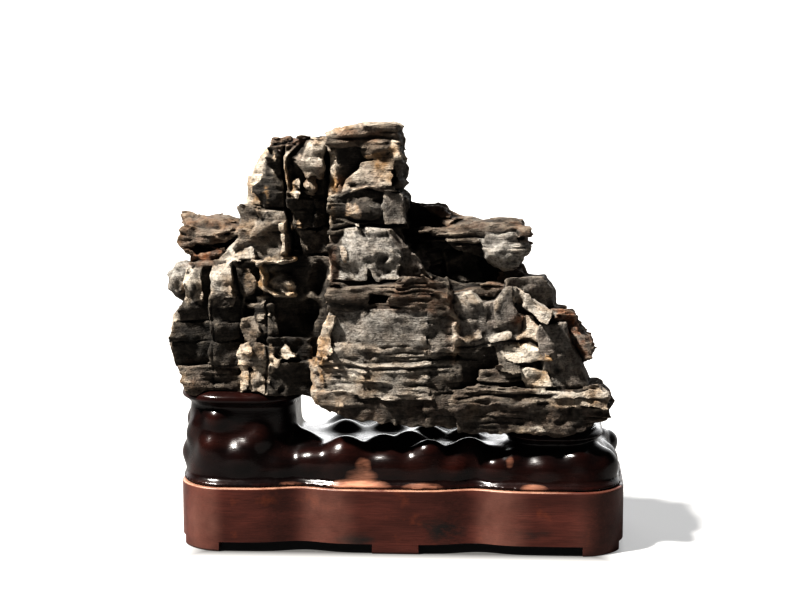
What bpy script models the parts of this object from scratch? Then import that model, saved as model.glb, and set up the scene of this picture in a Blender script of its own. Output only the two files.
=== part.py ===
"""A scholar's rock on its carved hardwood stand.

Three pieces that lift apart: the layered dark stone, the carved stand top whose two sockets
hold it, and the low plinth under them. Millimetres in the tables, metres in the scene, +Z up,
+X to the right of someone who looks at the front, which faces -Y.
"""

import math
import random

import bmesh
import bpy
import numpy as np
from mathutils import Matrix, Vector, noise

MM = 0.001

# Plinth: a board with three shallow lobes along each long side, cut away between its feet.
STAND_MIDDLE = -2.6
STAND_LENGTH = 451.0
STAND_DEPTH = 176.0
PLINTH_TOP = 65.6
PLINTH_CORNER = 46.0
PLINTH_EDGE_ROUND = 2.0
FOOT_HEIGHT = 9.6
NOTCH_DEPTH = 9.0
NOTCH_SPREAD = 27.0
NOTCHES = (-104.0, 71.0)
CENTRE_FOOT = (-31.0, 16.0)
CORNER_FOOT_REACH = 42.0
FOOT_DEPTH = 26.0

# Carved top: a knobbly ground with a tall socket at the left and a low one at the right.
SEAM = 0.3
CARVING_INSET = 3.5
GROUND_TOP = 103.0
KNOB_SPACING = 41.0
KNOB_HEIGHT = 8.5
KNOB_SPREAD = 11.0
MOUND_HEIGHT = 12.0
MOUND_SPREAD = 15.0
LEFT_SOCKET = dict(
    middle=-167.0, half=(63.0, 74.0), corner=50.0, rim=160.0, lip=10.0, seat=150.0, lean=-1.5
)
RIGHT_SOCKET = dict(
    middle=151.0, half=(51.0, 68.0), corner=42.0, rim=120.5, lip=7.5, seat=112.0, lean=0.8
)
SOCKET_CLEARANCE = 1.2
RIM_CLEARANCE = 0.6
SEAT_GAP = 0.35

# Rock: how fine it is built and how its bedding shows.
ROCK_VOXEL = 2.4
ROCK_TRIANGLES = 6000
CARVING_VOXEL = 3.0
CARVING_TRIANGLES = 2400
BED_HEIGHT = 9.5
BED_REACH = 3.4
EDGE_CHIP = 1.8
ROUGHNESS = 1.0
BACK_WARP = 9.0
WARP_SEED = 21
BACK_FALL = 0.15


class Block:
    """One joint-bounded block of the stone: a convex outline seen from the front, in mm, with
    how far forward its face stands, how far back it runs, and how that face is turned to the
    right and leaned back, in degrees."""

    def __init__(self, name, outline, front, back=42.0, turn=0.0, lean=0.0):
        self.name = name
        self.outline = outline
        self.front = front
        self.back = back
        self.turn = turn
        self.lean = lean


# The stone's blocks, from the crown down. Outlines run round each block as (x, z).
BLOCKS = (
    Block("crown_slab", [(-75, 422), (-27, 434), (-9, 433), (-4, 413), (-70, 405)], -50, 42),
    Block("crown_body", [(-70, 405), (-4, 414), (1, 372), (-7, 366), (-70, 361)], -36, 40),
    Block("crown_pillar", [(-71, 407), (-58, 405), (-58, 362), (-71, 362)], -50, 30),
    Block("crown_ramp", [(-59, 377), (-8, 397), (-4, 367), (-66, 361)], -50, 30, -14, 28),
    Block("crown_edge", [(-12, 413), (-1, 411), (1, 395), (-11, 396)], -47, 34),
    Block("neck_block", [(-70, 360), (-6, 365), (-1, 355), (-2, 331), (-9, 326), (-69, 325)], -45, 38),
    Block("neck_right", [(-20, 362), (-2, 360), (-2, 332), (-18, 328)], -50, 30, 20),
    Block("shoulder_block", [(-68, 323), (-9, 326), (0, 310), (17, 276), (-68, 271)], -50, 44),
    Block("shoulder_slope", [(-16, 323), (0, 310), (23, 276), (-11, 274)], -50, 30, 30),
    Block("ledge_top", [(-71, 274), (16, 276), (42, 274), (44, 265), (-70, 265)], -76, 52),
    Block("ledge_middle", [(-70, 266), (10, 269), (44, 262), (48, 251), (16, 252), (-70, 254)], -88, 48),
    Block("ledge_low", [(-70, 255), (16, 252), (38, 246), (30, 241), (-70, 245)], -83, 50),
    Block("middle_top", [(-120, 409), (-104, 416), (-77, 414), (-74, 385), (-75, 356), (-118, 356)], -35, 34),
    Block("middle_box", [(-115, 354), (-71, 356), (-71, 326), (-110, 325)], -42, 38),
    Block("middle_low", [(-109, 323), (-71, 324), (-70, 298), (-104, 297)], -37, 40),
    Block("cleft_back", [(-112, 300), (-68, 300), (-66, 206), (-118, 206)], -24, 58),
    Block("left_cap", [(-136, 414), (-123, 417), (-102, 417), (-104, 405), (-134, 404)], -30, 22),
    Block("left_column_a", [(-152, 377), (-148, 392), (-140, 406), (-122, 408), (-119, 376)], -42, 28, -18),
    Block("left_column_b", [(-154, 375), (-120, 374), (-119, 347), (-157, 347)], -46, 32, -12),
    Block("left_column_c", [(-164, 343), (-118, 345), (-116, 321), (-163, 320)], -50, 38),
    Block("left_column_d", [(-164, 319), (-116, 320), (-117, 296), (-150, 292), (-168, 305)], -52, 44),
    Block("left_slope", [(-188, 290), (-183, 301), (-158, 322), (-146, 292)], -52, 40, -10, 25),
    Block("arm_top", [(-222, 331), (-182, 332), (-160, 326), (-160, 314), (-218, 316)], -42, 44),
    Block("arm_tip", [(-234, 308), (-226, 320), (-203, 319), (-204, 301), (-222, 300)], -36, 30),
    Block("arm_hollow", [(-208, 320), (-160, 320), (-160, 296), (-208, 296)], -24, 36),
    Block("arm_low", [(-221, 301), (-182, 303), (-184, 287), (-216, 287)], -46, 38),
    Block("nose", [(-246, 273), (-236, 285), (-212, 287), (-210, 249), (-229, 250), (-242, 261)], -38, 28),
    Block("row_a", [(-217, 286), (-203, 287), (-203, 251), (-217, 250)], -54, 44, -14),
    Block("row_b", [(-205, 287), (-172, 288), (-170, 256), (-204, 255)], -60, 50),
    Block("row_c", [(-171, 290), (-142, 296), (-142, 255), (-169, 256)], -54, 56),
    Block("row_d", [(-142, 294), (-110, 294), (-108, 254), (-142, 255)], -46, 50),
    Block("course_a1", [(-221, 253), (-193, 256), (-193, 231), (-226, 231)], -54, 46, 8),
    Block("course_a2", [(-194, 256), (-160, 257), (-161, 232), (-194, 231)], -60, 54, 8),
    Block("course_b1", [(-234, 230), (-193, 231), (-193, 211), (-236, 211)], -57, 50, 10),
    Block("course_b2", [(-194, 231), (-161, 232), (-162, 212), (-194, 211)], -63, 60, 8),
    Block("course_c1", [(-236, 210), (-193, 211), (-193, 188), (-229, 188)], -55, 44, 8),
    Block("course_c2", [(-194, 211), (-163, 212), (-164, 188), (-194, 187)], -61, 56, 10),
    Block("course_d", [(-227, 186), (-166, 187), (-165, 158), (-218, 158)], -60, 50, 6, -4),
    Block("pier_a", [(-162, 244), (-132, 249), (-130, 208), (-162, 208)], -65, 60, -6),
    Block("pier_b", [(-165, 208), (-134, 208), (-135, 159), (-166, 159)], -67, 52, -4),
    Block("pocket", [(-150, 257), (-118, 257), (-114, 224), (-142, 222)], -48, 50),
    Block("low_middle_a", [(-136, 208), (-96, 210), (-92, 186), (-136, 186)], -57, 62),
    Block("low_middle_b", [(-136, 187), (-92, 187), (-84, 172), (-84, 154), (-136, 157)], -60, 54),
    Block("face_upper", [(-70, 250), (42, 246), (53, 214), (54, 185), (-92, 183), (-84, 209)], -80, 66, -7),
    Block("face_lower", [(-92, 184), (54, 186), (57, 158), (52, 126), (-4, 132), (-57, 138), (-90, 151)], -78, 60, -5),
    Block("saddle", [(46, 256), (76, 265), (109, 262), (110, 236), (52, 227)], -71, 56),
    Block("right_band", [(53, 235), (120, 239), (122, 214), (54, 211)], -69, 60),
    Block("ridge", [(107, 264), (126, 268), (152, 246), (149, 226), (122, 229)], -62, 48, 6, 14),
    Block("ridge_under", [(106, 250), (142, 245), (143, 219), (108, 219)], -56, 54),
    Block("dark_step", [(55, 214), (97, 217), (97, 186), (57, 184)], -68, 62),
    Block("lit_slope", [(92, 215), (144, 222), (156, 187), (118, 181), (94, 186)], -72, 54, -6, 16),
    Block("facet", [(140, 226), (163, 229), (185, 163), (140, 162)], -62, 46, 26),
    Block("step_a", [(54, 187), (76, 188), (76, 161), (54, 160)], -66, 58),
    Block("step_b", [(74, 188), (120, 188), (121, 161), (74, 161)], -70, 62),
    Block("step_c", [(118, 186), (148, 188), (150, 161), (118, 161)], -75, 50),
    Block("right_shoulder", [(102, 275), (138, 278), (148, 264), (151, 246), (104, 252)], -42, 40),
    Block("brown_end", [(148, 246), (170, 240), (190, 203), (187, 191), (170, 184), (150, 198)], -20, 44),
    Block("slab_upper", [(50, 165), (197, 169), (209, 160), (198, 150), (50, 147)], -76, 56, 6),
    Block("slab_lower", [(49, 149), (196, 152), (213, 148), (208, 141), (188, 131), (158, 122), (58, 124)], -72, 60, 8),
    Block("overhang_top", [(26, 321), (101, 333), (111, 332), (112, 322), (28, 312)], -36, 42),
    Block("overhang", [(42, 314), (112, 323), (126, 303), (116, 287), (96, 283), (66, 295)], -42, 38, 10),
    Block("overhang_tip", [(109, 327), (126, 326), (127, 312), (109, 311)], -34, 22),
    Block("overhang_foot", [(93, 288), (127, 291), (131, 274), (95, 270)], -24, 34),
    Block("back_ridge", [(-5, 352), (20, 353), (32, 342), (45, 328), (48, 306), (-5, 304)], 0, 42),
    Block("back_step", [(34, 326), (58, 319), (73, 319), (74, 304), (36, 304)], -12, 40),
    Block("cavern_wall", [(-6, 312), (98, 308), (103, 252), (-2, 252)], 4, 52),
    Block("cavern_ridge", [(28, 304), (56, 298), (76, 260), (30, 260)], -18, 30, 0, 22),
    Block("cavern_shelf", [(42, 264), (104, 273), (110, 255), (46, 250)], -56, 44),
    Block("core_upper", [(-132, 268), (-130, 396), (-14, 404), (-8, 268)], -22, 26),
    Block("core_lower", [(-214, 288), (-110, 300), (10, 280), (128, 262), (164, 190), (60, 142), (-92, 170), (-212, 178)], -44, 40),
)

# Rounded weathered bosses: middle (x, y, z) and half sizes, in mm.
BOSSES = (
    ((-29, -38, 406), (15, 15, 13)),
    ((-38, -48, 344), (18, 15, 16)),
    ((-36, -52, 298), (33, 24, 25)),
    ((-52, -80, 258), (19, 12, 8)),
    ((-113, -36, 394), (8, 12, 17)),
    ((-95, -36, 399), (12, 13, 15)),
    ((-92, -38, 370), (7, 9, 11)),
    ((-108, -38, 367), (5, 9, 8)),
    ((-208, -32, 309), (12, 14, 9)),
    ((-232, -26, 267), (14, 22, 16)),
    ((-188, -54, 272), (16, 12, 14)),
    ((-228, -28, 222), (11, 32, 16)),
    ((-227, -24, 198), (11, 30, 13)),
    ((120, -34, 305), (11, 15, 9)),
    ((92, -38, 302), (26, 16, 15)),
    ((62, -66, 252), (15, 14, 9)),
    ((98, -66, 250), (14, 16, 12)),
    ((-60, 42, 300), (30, 16, 26)),
    ((30, 50, 220), (36, 20, 28)),
    ((-150, 46, 220), (28, 18, 24)),
)

LEFT_FOOT = dict(x=(-216, -118), y=(-59, 56), corner=38.0, top=172.0)
RIGHT_FOOT = dict(x=(112, 190), y=(-55, 52), corner=32.0, top=136.0)


def clear_scene():
    for obj in list(bpy.data.objects):
        bpy.data.objects.remove(obj, do_unlink=True)


def material(name, colour, roughness):
    made = bpy.data.materials.new(name)
    made.use_nodes = True
    shader = made.node_tree.nodes["Principled BSDF"]
    shader.inputs["Base Color"].default_value = (*colour, 1.0)
    shader.inputs["Roughness"].default_value = roughness
    shader.inputs["Metallic"].default_value = 0.0
    return made


def new_object(name, mesh):
    obj = bpy.data.objects.new(name, mesh)
    bpy.context.scene.collection.objects.link(obj)
    return obj


def object_from_bmesh(name, bm):
    mesh = bpy.data.meshes.new(name)
    bm.to_mesh(mesh)
    bm.free()
    return new_object(name, mesh)


def apply_modifiers(obj):
    """Replaces the object's mesh with what its modifiers make of it."""
    bpy.context.view_layer.update()
    graph = bpy.context.evaluated_depsgraph_get()
    made = bpy.data.meshes.new_from_object(obj.evaluated_get(graph))
    obj.modifiers.clear()
    obj.data = made


def prism(bm, outline, low, high):
    """Adds a closed prism over a plan outline (x, y) in mm from z low to z high."""
    ring = [bm.verts.new((x * MM, y * MM, low * MM)) for x, y in outline]
    cap = bm.faces.new(ring)
    raised = bmesh.ops.extrude_face_region(bm, geom=[cap])["geom"]
    top = [item for item in raised if isinstance(item, bmesh.types.BMVert)]
    bmesh.ops.translate(bm, verts=top, vec=(0, 0, (high - low) * MM))
    faces = dict.fromkeys(face for vert in ring + top for face in vert.link_faces)
    bmesh.ops.recalc_face_normals(bm, faces=list(faces))


def put_in_order(mesh):
    """Rewrites the mesh as triangles, with its points and faces in an order that depends only
    on where they lie."""
    count = len(mesh.vertices)
    points = np.empty(count * 3, np.float32)
    mesh.vertices.foreach_get("co", points)
    points = points.reshape(-1, 3)
    order = np.lexsort(points.T)
    place = np.empty(count, int)
    place[order] = np.arange(count)
    faces = []
    for polygon in mesh.polygons:
        corners = [int(place[vertex]) for vertex in polygon.vertices]
        start = corners.index(min(corners))
        corners = corners[start:] + corners[:start]
        faces += [(corners[0], a, b) for a, b in zip(corners[1:], corners[2:])]
    mesh.clear_geometry()
    mesh.from_pydata(points[order].tolist(), [], sorted(faces))
    mesh.update()


def add_block(bm, block):
    """Adds a block: its outline at the front, turned and leaned, and at the back, where all
    but the lowest tops have fallen away a little."""
    middle_x = sum(x for x, _ in block.outline) / len(block.outline)
    middle_z = sum(z for _, z in block.outline) / len(block.outline)
    turn = math.tan(math.radians(block.turn))
    lean = math.tan(math.radians(block.lean))
    front = []
    back = []
    for x, z in block.outline:
        depth = block.front + (x - middle_x) * turn + (z - middle_z) * lean
        front.append(bm.verts.new((x * MM, depth * MM, z * MM)))
        fall = BACK_FALL * (block.back - depth) * min(1.0, max(0.0, (z - 125.0) / 55.0))
        back.append(bm.verts.new((x * MM, block.back * MM, (z - fall) * MM)))
    faces = [bm.faces.new(front), bm.faces.new(back[::-1])]
    for i in range(len(front)):
        j = (i + 1) % len(front)
        faces.append(bm.faces.new((front[i], back[i], back[j], front[j])))
    bmesh.ops.recalc_face_normals(bm, faces=faces)
    edges = list(dict.fromkeys(edge for face in faces for edge in face.edges))
    bmesh.ops.bevel(bm, geom=edges, offset=EDGE_CHIP * MM, segments=1, affect="EDGES")


def add_boss(bm, middle, half):
    place = Matrix.Translation(Vector(middle) * MM) @ Matrix.Diagonal((*(Vector(half) * MM), 1.0))
    bmesh.ops.create_icosphere(bm, subdivisions=3, radius=1.0, matrix=place)


def rounded_plan(x_range, y_range, corner, steps=4):
    """A rounded rectangle as (x, y) points, in mm."""
    points = []
    corners = (
        (x_range[1] - corner, y_range[1] - corner, 0),
        (x_range[0] + corner, y_range[1] - corner, 90),
        (x_range[0] + corner, y_range[0] + corner, 180),
        (x_range[1] - corner, y_range[0] + corner, 270),
    )
    for cx, cy, start in corners:
        for i in range(steps + 1):
            angle = math.radians(start + 90 * i / steps)
            points.append((cx + corner * math.cos(angle), cy + corner * math.sin(angle)))
    return points


def remesh(obj, voxel):
    """Fuses everything in the object into one surface, built of voxels this many mm wide."""
    fuse = obj.modifiers.new("fuse", "REMESH")
    fuse.mode = "VOXEL"
    fuse.voxel_size = voxel * MM
    fuse.adaptivity = 0.0
    apply_modifiers(obj)


def vertex_arrays(mesh):
    """The mesh's vertex positions in mm and its vertex normals."""
    count = len(mesh.vertices)
    points = np.empty(count * 3)
    mesh.vertices.foreach_get("co", points)
    normals = np.empty(count * 3)
    mesh.vertices.foreach_get("normal", normals)
    return points.reshape(-1, 3) / MM, normals.reshape(-1, 3)


def set_points(mesh, points):
    mesh.vertices.foreach_set("co", (points * MM).astype(np.float32).ravel())
    mesh.update()


def bedding_step(level):
    """How far the bed at this level stands out, from -1 to 1. The beds weather unevenly."""
    return random.Random(int(level) * 7919 + 13).uniform(-1.0, 1.0)


def weather_rock(mesh):
    """Moves the surface out and in: whole beds by their level, then rough lumps. Towards the
    back the blocks are also bent out of line."""
    noise.seed_set(WARP_SEED)
    points, normals = vertex_arrays(mesh)
    moved = points.copy()
    for i, (point, normal) in enumerate(zip(points, normals)):
        place = Vector(point)
        behind = min(1.0, max(0.0, (point[1] + 42.0) / 70.0))
        bend = noise.noise_vector(place / 52.0)
        moved[i] += np.array((bend[0], 0.6 * bend[1], bend[2])) * BACK_WARP * behind
        dip = 0.05 * point[0] + 3.0 * noise.noise(place / 60.0)
        level = (point[2] + dip) / BED_HEIGHT
        patch = 0.5 + 0.5 * noise.noise(place / 34.0 + Vector((9.0, 2.0, 5.0)))
        step = bedding_step(math.floor(level)) * patch * BED_REACH
        lumps = noise.noise(place / 11.0) * ROUGHNESS
        outward = np.array((normal[0], normal[1], 0.25 * normal[2]))
        moved[i] += outward * step + normal * lumps
    set_points(mesh, moved)


def thin_out(obj, triangles):
    """Reduces the object to about this many triangles."""
    obj.data.calc_loop_triangles()
    thin = obj.modifiers.new("thin", "DECIMATE")
    thin.ratio = triangles / len(obj.data.loop_triangles)
    thin.use_collapse_triangulate = True
    apply_modifiers(obj)


def cut(obj, cutter, operation="DIFFERENCE"):
    """Takes the cutter away from the object, or joins it on, and then drops the cutter."""
    step = obj.modifiers.new("cut", "BOOLEAN")
    step.operation = operation
    step.object = cutter
    step.solver = "EXACT"
    apply_modifiers(obj)
    bpy.data.objects.remove(cutter, do_unlink=True)


def drop_crumbs(obj):
    """Keeps the largest connected piece of the object and drops the rest."""
    bm = bmesh.new()
    bm.from_mesh(obj.data)
    left = dict.fromkeys(bm.verts)
    groups = []
    while left:
        group = []
        front = [left.popitem()[0]]
        while front:
            vert = front.pop()
            group.append(vert)
            for edge in vert.link_edges:
                other = edge.other_vert(vert)
                if other in left:
                    del left[other]
                    front.append(other)
        groups.append(group)
    groups.sort(key=len)
    for group in groups[:-1]:
        bmesh.ops.delete(bm, geom=group, context="VERTS")
    bm.to_mesh(obj.data)
    bm.free()


def foot_plan(foot, grow=0.0):
    x_range = (foot["x"][0] - grow, foot["x"][1] + grow)
    y_range = (foot["y"][0] - grow, foot["y"][1] + grow)
    return rounded_plan(x_range, y_range, foot["corner"] + grow)


def build_rock(paint):
    bm = bmesh.new()
    for block in BLOCKS:
        add_block(bm, block)
    for middle, half in BOSSES:
        add_boss(bm, middle, half)
    rock = object_from_bmesh("rock", bm)
    put_in_order(rock.data)
    remesh(rock, ROCK_VOXEL)
    weather_rock(rock.data)
    thin_out(rock, ROCK_TRIANGLES)
    seat_rock(rock)
    rock.data.materials.append(paint)
    return rock


def seat_rock(rock):
    """Cuts the stone clear of each socket, then adds the flat foot that stands in it."""
    for foot, socket in ((LEFT_FOOT, LEFT_SOCKET), (RIGHT_FOOT, RIGHT_SOCKET)):
        bm = bmesh.new()
        add_loft(bm, list(socket_rings(socket, 1.5, RIM_CLEARANCE)))
        cut(rock, object_from_bmesh("socket_cutter", bm))
        drop_crumbs(rock)
        bm = bmesh.new()
        prism(bm, foot_plan(foot), socket["seat"] + SEAT_GAP, foot["top"])
        cut(rock, object_from_bmesh("foot", bm), "UNION")


def long_side(x):
    """How far the plinth's long side stands from the middle line at x, in mm."""
    reach = STAND_DEPTH / 2
    for notch in NOTCHES:
        reach -= NOTCH_DEPTH * math.exp(-(((x - notch) / NOTCH_SPREAD) ** 2))
    return reach


def stand_plan(inset, steps=40):
    """The plinth's outline, drawn in by inset, as (x, y) points in mm."""
    half = STAND_LENGTH / 2 - inset
    corner = PLINTH_CORNER - inset
    flat = half - corner
    side = []
    for i in range(steps + 1):
        x = -math.cos(math.pi * i / steps) * half
        over = max(0.0, abs(x) - flat)
        drop = corner - math.sqrt(max(0.0, corner * corner - over * over))
        side.append((x + STAND_MIDDLE, long_side(x + STAND_MIDDLE) - inset - drop))
    front = [(x, -y) for x, y in side]
    return front + side[::-1]


def build_plinth(paint):
    bm = bmesh.new()
    prism(bm, stand_plan(0.0), 0.0, PLINTH_TOP)
    plinth = object_from_bmesh("plinth", bm)
    round_top_edge(plinth)
    for cutter in foot_gap_cutters():
        cut(plinth, cutter)
    plinth.data.materials.append(paint)
    return plinth


def round_top_edge(plinth):
    bm = bmesh.new()
    bm.from_mesh(plinth.data)
    top = PLINTH_TOP * MM
    edges = [edge for edge in bm.edges if all(abs(vert.co.z - top) < 1e-6 for vert in edge.verts)]
    bmesh.ops.bevel(bm, geom=edges, offset=PLINTH_EDGE_ROUND * MM, segments=2, affect="EDGES")
    bm.to_mesh(plinth.data)
    bm.free()


def foot_gap_cutters():
    """Solids that take the underside away between the four corner feet and the two middle
    feet: one along the whole length, and one across each side of the middle feet."""
    left = STAND_MIDDLE - STAND_LENGTH / 2
    right = STAND_MIDDLE + STAND_LENGTH / 2
    outer_y = STAND_DEPTH / 2 + 20.0
    inner_y = STAND_DEPTH / 2 - FOOT_DEPTH
    boxes = (
        ((left - 20.0, right + 20.0), (-inner_y, inner_y)),
        ((left + CORNER_FOOT_REACH, CENTRE_FOOT[0]), (-outer_y, outer_y)),
        ((CENTRE_FOOT[1], right - CORNER_FOOT_REACH), (-outer_y, outer_y)),
    )
    for x_range, y_range in boxes:
        bm = bmesh.new()
        prism(bm, rounded_plan(x_range, y_range, 1.0, 1), -5.0, FOOT_HEIGHT)
        yield object_from_bmesh("gap_cutter", bm)


def socket_levels(socket):
    """How a socket's wall draws in under its lip on its way up: (height, inset) in mm."""
    rim = socket["rim"]
    lip = socket["lip"]
    return (
        (PLINTH_TOP + SEAM, 6.0),
        (rim - 2.6 * lip, 8.5),
        (rim - 1.7 * lip, 9.5),
        (rim - 1.2 * lip, 4.5),
        (rim - 0.9 * lip, 0.0),
        (rim - 0.4 * lip, 2.5),
        (rim, 8.0),
    )


def add_loft(bm, rings):
    """Skins closed rings of (x, y, z) points in mm, and caps the first and the last."""
    made = [[bm.verts.new(Vector(point) * MM) for point in ring] for ring in rings]
    faces = [bm.faces.new(made[0][::-1]), bm.faces.new(made[-1])]
    for lower, upper in zip(made, made[1:]):
        for i in range(len(lower)):
            j = (i + 1) % len(lower)
            faces.append(bm.faces.new((lower[i], lower[j], upper[j], upper[i])))
    bmesh.ops.recalc_face_normals(bm, faces=faces)


def socket_rings(socket, grow=0.0, lift=0.0):
    """The socket's outside as rings from its foot to its rim, grown all round and lifted."""
    half_x, half_y = socket["half"]
    slope = socket["lean"] / half_x
    for height, inset in socket_levels(socket):
        reach_x = half_x - inset + grow
        reach_y = half_y - inset + grow
        plan = rounded_plan((-reach_x, reach_x), (-reach_y, reach_y), socket["corner"], 6)
        share = (height - PLINTH_TOP) / (socket["rim"] - PLINTH_TOP)
        yield [(x + socket["middle"], y, height + lift + slope * x * share) for x, y in plan]


def ground_rings():
    """The carved ground: a flare at the seam, a hollow waist and a rounded shoulder."""
    base = PLINTH_TOP + SEAM
    levels = (
        (base, 0.0),
        (base + 2.5, 0.5),
        (base + 7.0, 6.0),
        (base + 22.0, 7.5),
        (GROUND_TOP - 5.0, 11.0),
        (GROUND_TOP, 18.0),
    )
    for height, inset in levels:
        yield [(x, y, height) for x, y in stand_plan(CARVING_INSET + inset, 36)]


def walk(outline, spacing, start):
    """Points set evenly along a closed outline, from a share of one spacing along it."""
    legs = list(zip(outline, outline[1:] + outline[:1]))
    whole = sum(math.dist(a, b) for a, b in legs)
    step = whole / round(whole / spacing)
    due = start * step
    gone = 0.0
    for a, b in legs:
        leg = math.dist(a, b)
        while due < gone + leg:
            share = (due - gone) / leg
            yield a[0] + (b[0] - a[0]) * share, a[1] + (b[1] - a[1]) * share
            due += step
        gone += leg


# Mounds carved on the ground between the sockets, as (x, y), from the front to the back.
MOUNDS = (
    (-62, -70),
    (22, -72),
    (66, -58),
    (-17, -42),
    (-78, -30),
    (3, -24),
    (58, -14),
    (24, -4),
    (-60, 12),
    (-15, 15),
    (70, 26),
    (-36, 48),
    (14, 42),
    (44, 62),
    (-72, 62),
    (-6, 72),
)


def knobs():
    """Every knob and mound of the carving: (x, y, z), height and spread in mm."""
    wall = stand_plan(CARVING_INSET + 8.0)
    for row, height in enumerate((87.0, 103.0)):
        for x, y in walk(wall, KNOB_SPACING, 0.25 + 0.5 * row):
            if row == 0 or x < 180.0:
                yield (x, y, height), KNOB_HEIGHT, KNOB_SPREAD
    half_x, half_y = LEFT_SOCKET["half"]
    wall = rounded_plan((-half_x + 8.0, half_x - 8.0), (-half_y + 8.0, half_y - 8.0), 42.0)
    for row, height in enumerate((118.0, 134.0)):
        for x, y in walk(wall, KNOB_SPACING, 0.1 + 0.5 * row):
            yield (x + LEFT_SOCKET["middle"], y, height), KNOB_HEIGHT, KNOB_SPREAD
    for x, y in MOUNDS:
        yield (x, y, GROUND_TOP), MOUND_HEIGHT, MOUND_SPREAD


def raise_knobs(mesh):
    """Pushes the surface out along its normals into a smooth peak at each knob, but leaves
    the sockets' lips as they are."""
    points, normals = vertex_arrays(mesh)
    push = np.zeros(len(points))
    for middle, height, spread in knobs():
        away = ((points - np.array(middle)) ** 2).sum(1)
        push += height * np.exp(-away / spread**2)
    for socket in (LEFT_SOCKET, RIGHT_SOCKET):
        near = abs(points[:, 0] - socket["middle"]) < socket["half"][0] + 6.0
        below_lip = (socket["rim"] - 1.3 * socket["lip"] - points[:, 2]) / 10.0
        push[near] *= np.clip(below_lip[near], 0.0, 1.0)
    set_points(mesh, points + normals * push[:, None])


def smooth(obj, times):
    step = obj.modifiers.new("soften", "SMOOTH")
    step.factor = 0.5
    step.iterations = times
    apply_modifiers(obj)


def build_carving(paint):
    bm = bmesh.new()
    add_loft(bm, list(ground_rings()))
    for socket in (LEFT_SOCKET, RIGHT_SOCKET):
        add_loft(bm, list(socket_rings(socket)))
    carving = object_from_bmesh("carved_stand_top", bm)
    remesh(carving, CARVING_VOXEL)
    smooth(carving, 6)
    raise_knobs(carving.data)
    smooth(carving, 2)
    thin_out(carving, CARVING_TRIANGLES)
    flatten_carving(carving)
    carving.data.materials.append(paint)
    return carving


def flatten_carving(carving):
    """Cuts the flat seam face under the carving and the two pockets for the stone's feet."""
    reach_x = STAND_LENGTH / 2 + 30.0
    reach_y = STAND_DEPTH / 2 + 20.0
    bm = bmesh.new()
    prism(bm, rounded_plan((-reach_x, reach_x), (-reach_y, reach_y), 1.0, 1), 20.0, PLINTH_TOP + SEAM)
    cut(carving, object_from_bmesh("seam_cutter", bm))
    for foot, socket in ((LEFT_FOOT, LEFT_SOCKET), (RIGHT_FOOT, RIGHT_SOCKET)):
        bm = bmesh.new()
        prism(bm, foot_plan(foot, SOCKET_CLEARANCE), socket["seat"], socket["rim"] + 40.0)
        cut(carving, object_from_bmesh("pocket_cutter", bm))


def set_shading(obj, degrees):
    obj.data.shade_smooth()
    obj.data.set_sharp_from_angle(angle=math.radians(degrees))


def centre_on_origin(pieces):
    """Moves all the pieces so that the middle of the whole stands over the origin."""
    corners = np.array([corner for piece in pieces for corner in piece.bound_box])
    middle = (corners.min(0) + corners.max(0)) / 2
    holder = bpy.data.objects.new("scholars_rock", None)
    bpy.context.scene.collection.objects.link(holder)
    for piece in pieces:
        piece.parent = holder
        piece.location = (-middle[0], -middle[1], 0.0)


def main():
    clear_scene()
    stone = material("dark layered stone", (0.06, 0.05, 0.042), 0.85)
    carved = material("polished dark hardwood", (0.035, 0.012, 0.009), 0.22)
    board = material("red-brown hardwood", (0.11, 0.03, 0.018), 0.4)
    rock = build_rock(stone)
    carving = build_carving(carved)
    plinth = build_plinth(board)
    set_shading(rock, 18)
    set_shading(carving, 50)
    set_shading(plinth, 35)
    centre_on_origin((rock, carving, plinth))


main()
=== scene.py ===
"""A scholar's rock on its carved hardwood stand, dressed for viewing.

The stone and the carved stand top are worked out as distances on an even grid of points and
then skinned; the plinth is lofted from its outline. Tables are in millimetres from a point on
the ground near the stand's middle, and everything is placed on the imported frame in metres.
"""

import math

import bmesh
import bpy
import numpy as np
from bpy.props import FloatProperty, FloatVectorProperty, IntProperty, PointerProperty
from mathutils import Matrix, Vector


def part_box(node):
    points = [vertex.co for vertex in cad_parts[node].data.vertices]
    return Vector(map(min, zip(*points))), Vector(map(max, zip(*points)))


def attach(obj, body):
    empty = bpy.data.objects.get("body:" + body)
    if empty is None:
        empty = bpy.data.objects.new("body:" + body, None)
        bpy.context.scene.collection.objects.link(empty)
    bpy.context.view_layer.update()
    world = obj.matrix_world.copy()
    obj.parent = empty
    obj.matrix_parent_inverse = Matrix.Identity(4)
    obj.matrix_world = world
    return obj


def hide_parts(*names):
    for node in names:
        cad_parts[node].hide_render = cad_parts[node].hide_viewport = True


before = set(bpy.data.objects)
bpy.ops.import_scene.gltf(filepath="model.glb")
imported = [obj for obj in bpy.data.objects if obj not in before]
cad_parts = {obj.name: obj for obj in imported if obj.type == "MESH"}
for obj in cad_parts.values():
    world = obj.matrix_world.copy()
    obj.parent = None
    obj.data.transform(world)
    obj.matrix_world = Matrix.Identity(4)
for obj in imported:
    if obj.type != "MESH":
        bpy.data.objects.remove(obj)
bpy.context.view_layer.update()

bl_info = {
    "name": "Scholar's rock on a carved stand",
    "version": (1, 0, 0),
    "blender": (4, 5, 0),
    "location": "View3D > Sidebar > Scholar's rock",
    "description": "Builds a layered scholar's rock, its carved stand top, its plinth and a plain studio",
    "category": "Object",
}

MM = 0.001

# The stand's middle lies this far along x from the point that the tables are measured from, in
# mm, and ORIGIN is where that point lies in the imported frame, in metres.
STAND_MIDDLE = -2.6
PLINTH_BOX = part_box("plinth")
ORIGIN = (
    (PLINTH_BOX[0].x + PLINTH_BOX[1].x) / 2 - STAND_MIDDLE * MM,
    (PLINTH_BOX[0].y + PLINTH_BOX[1].y) / 2,
    0.0,
)

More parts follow.
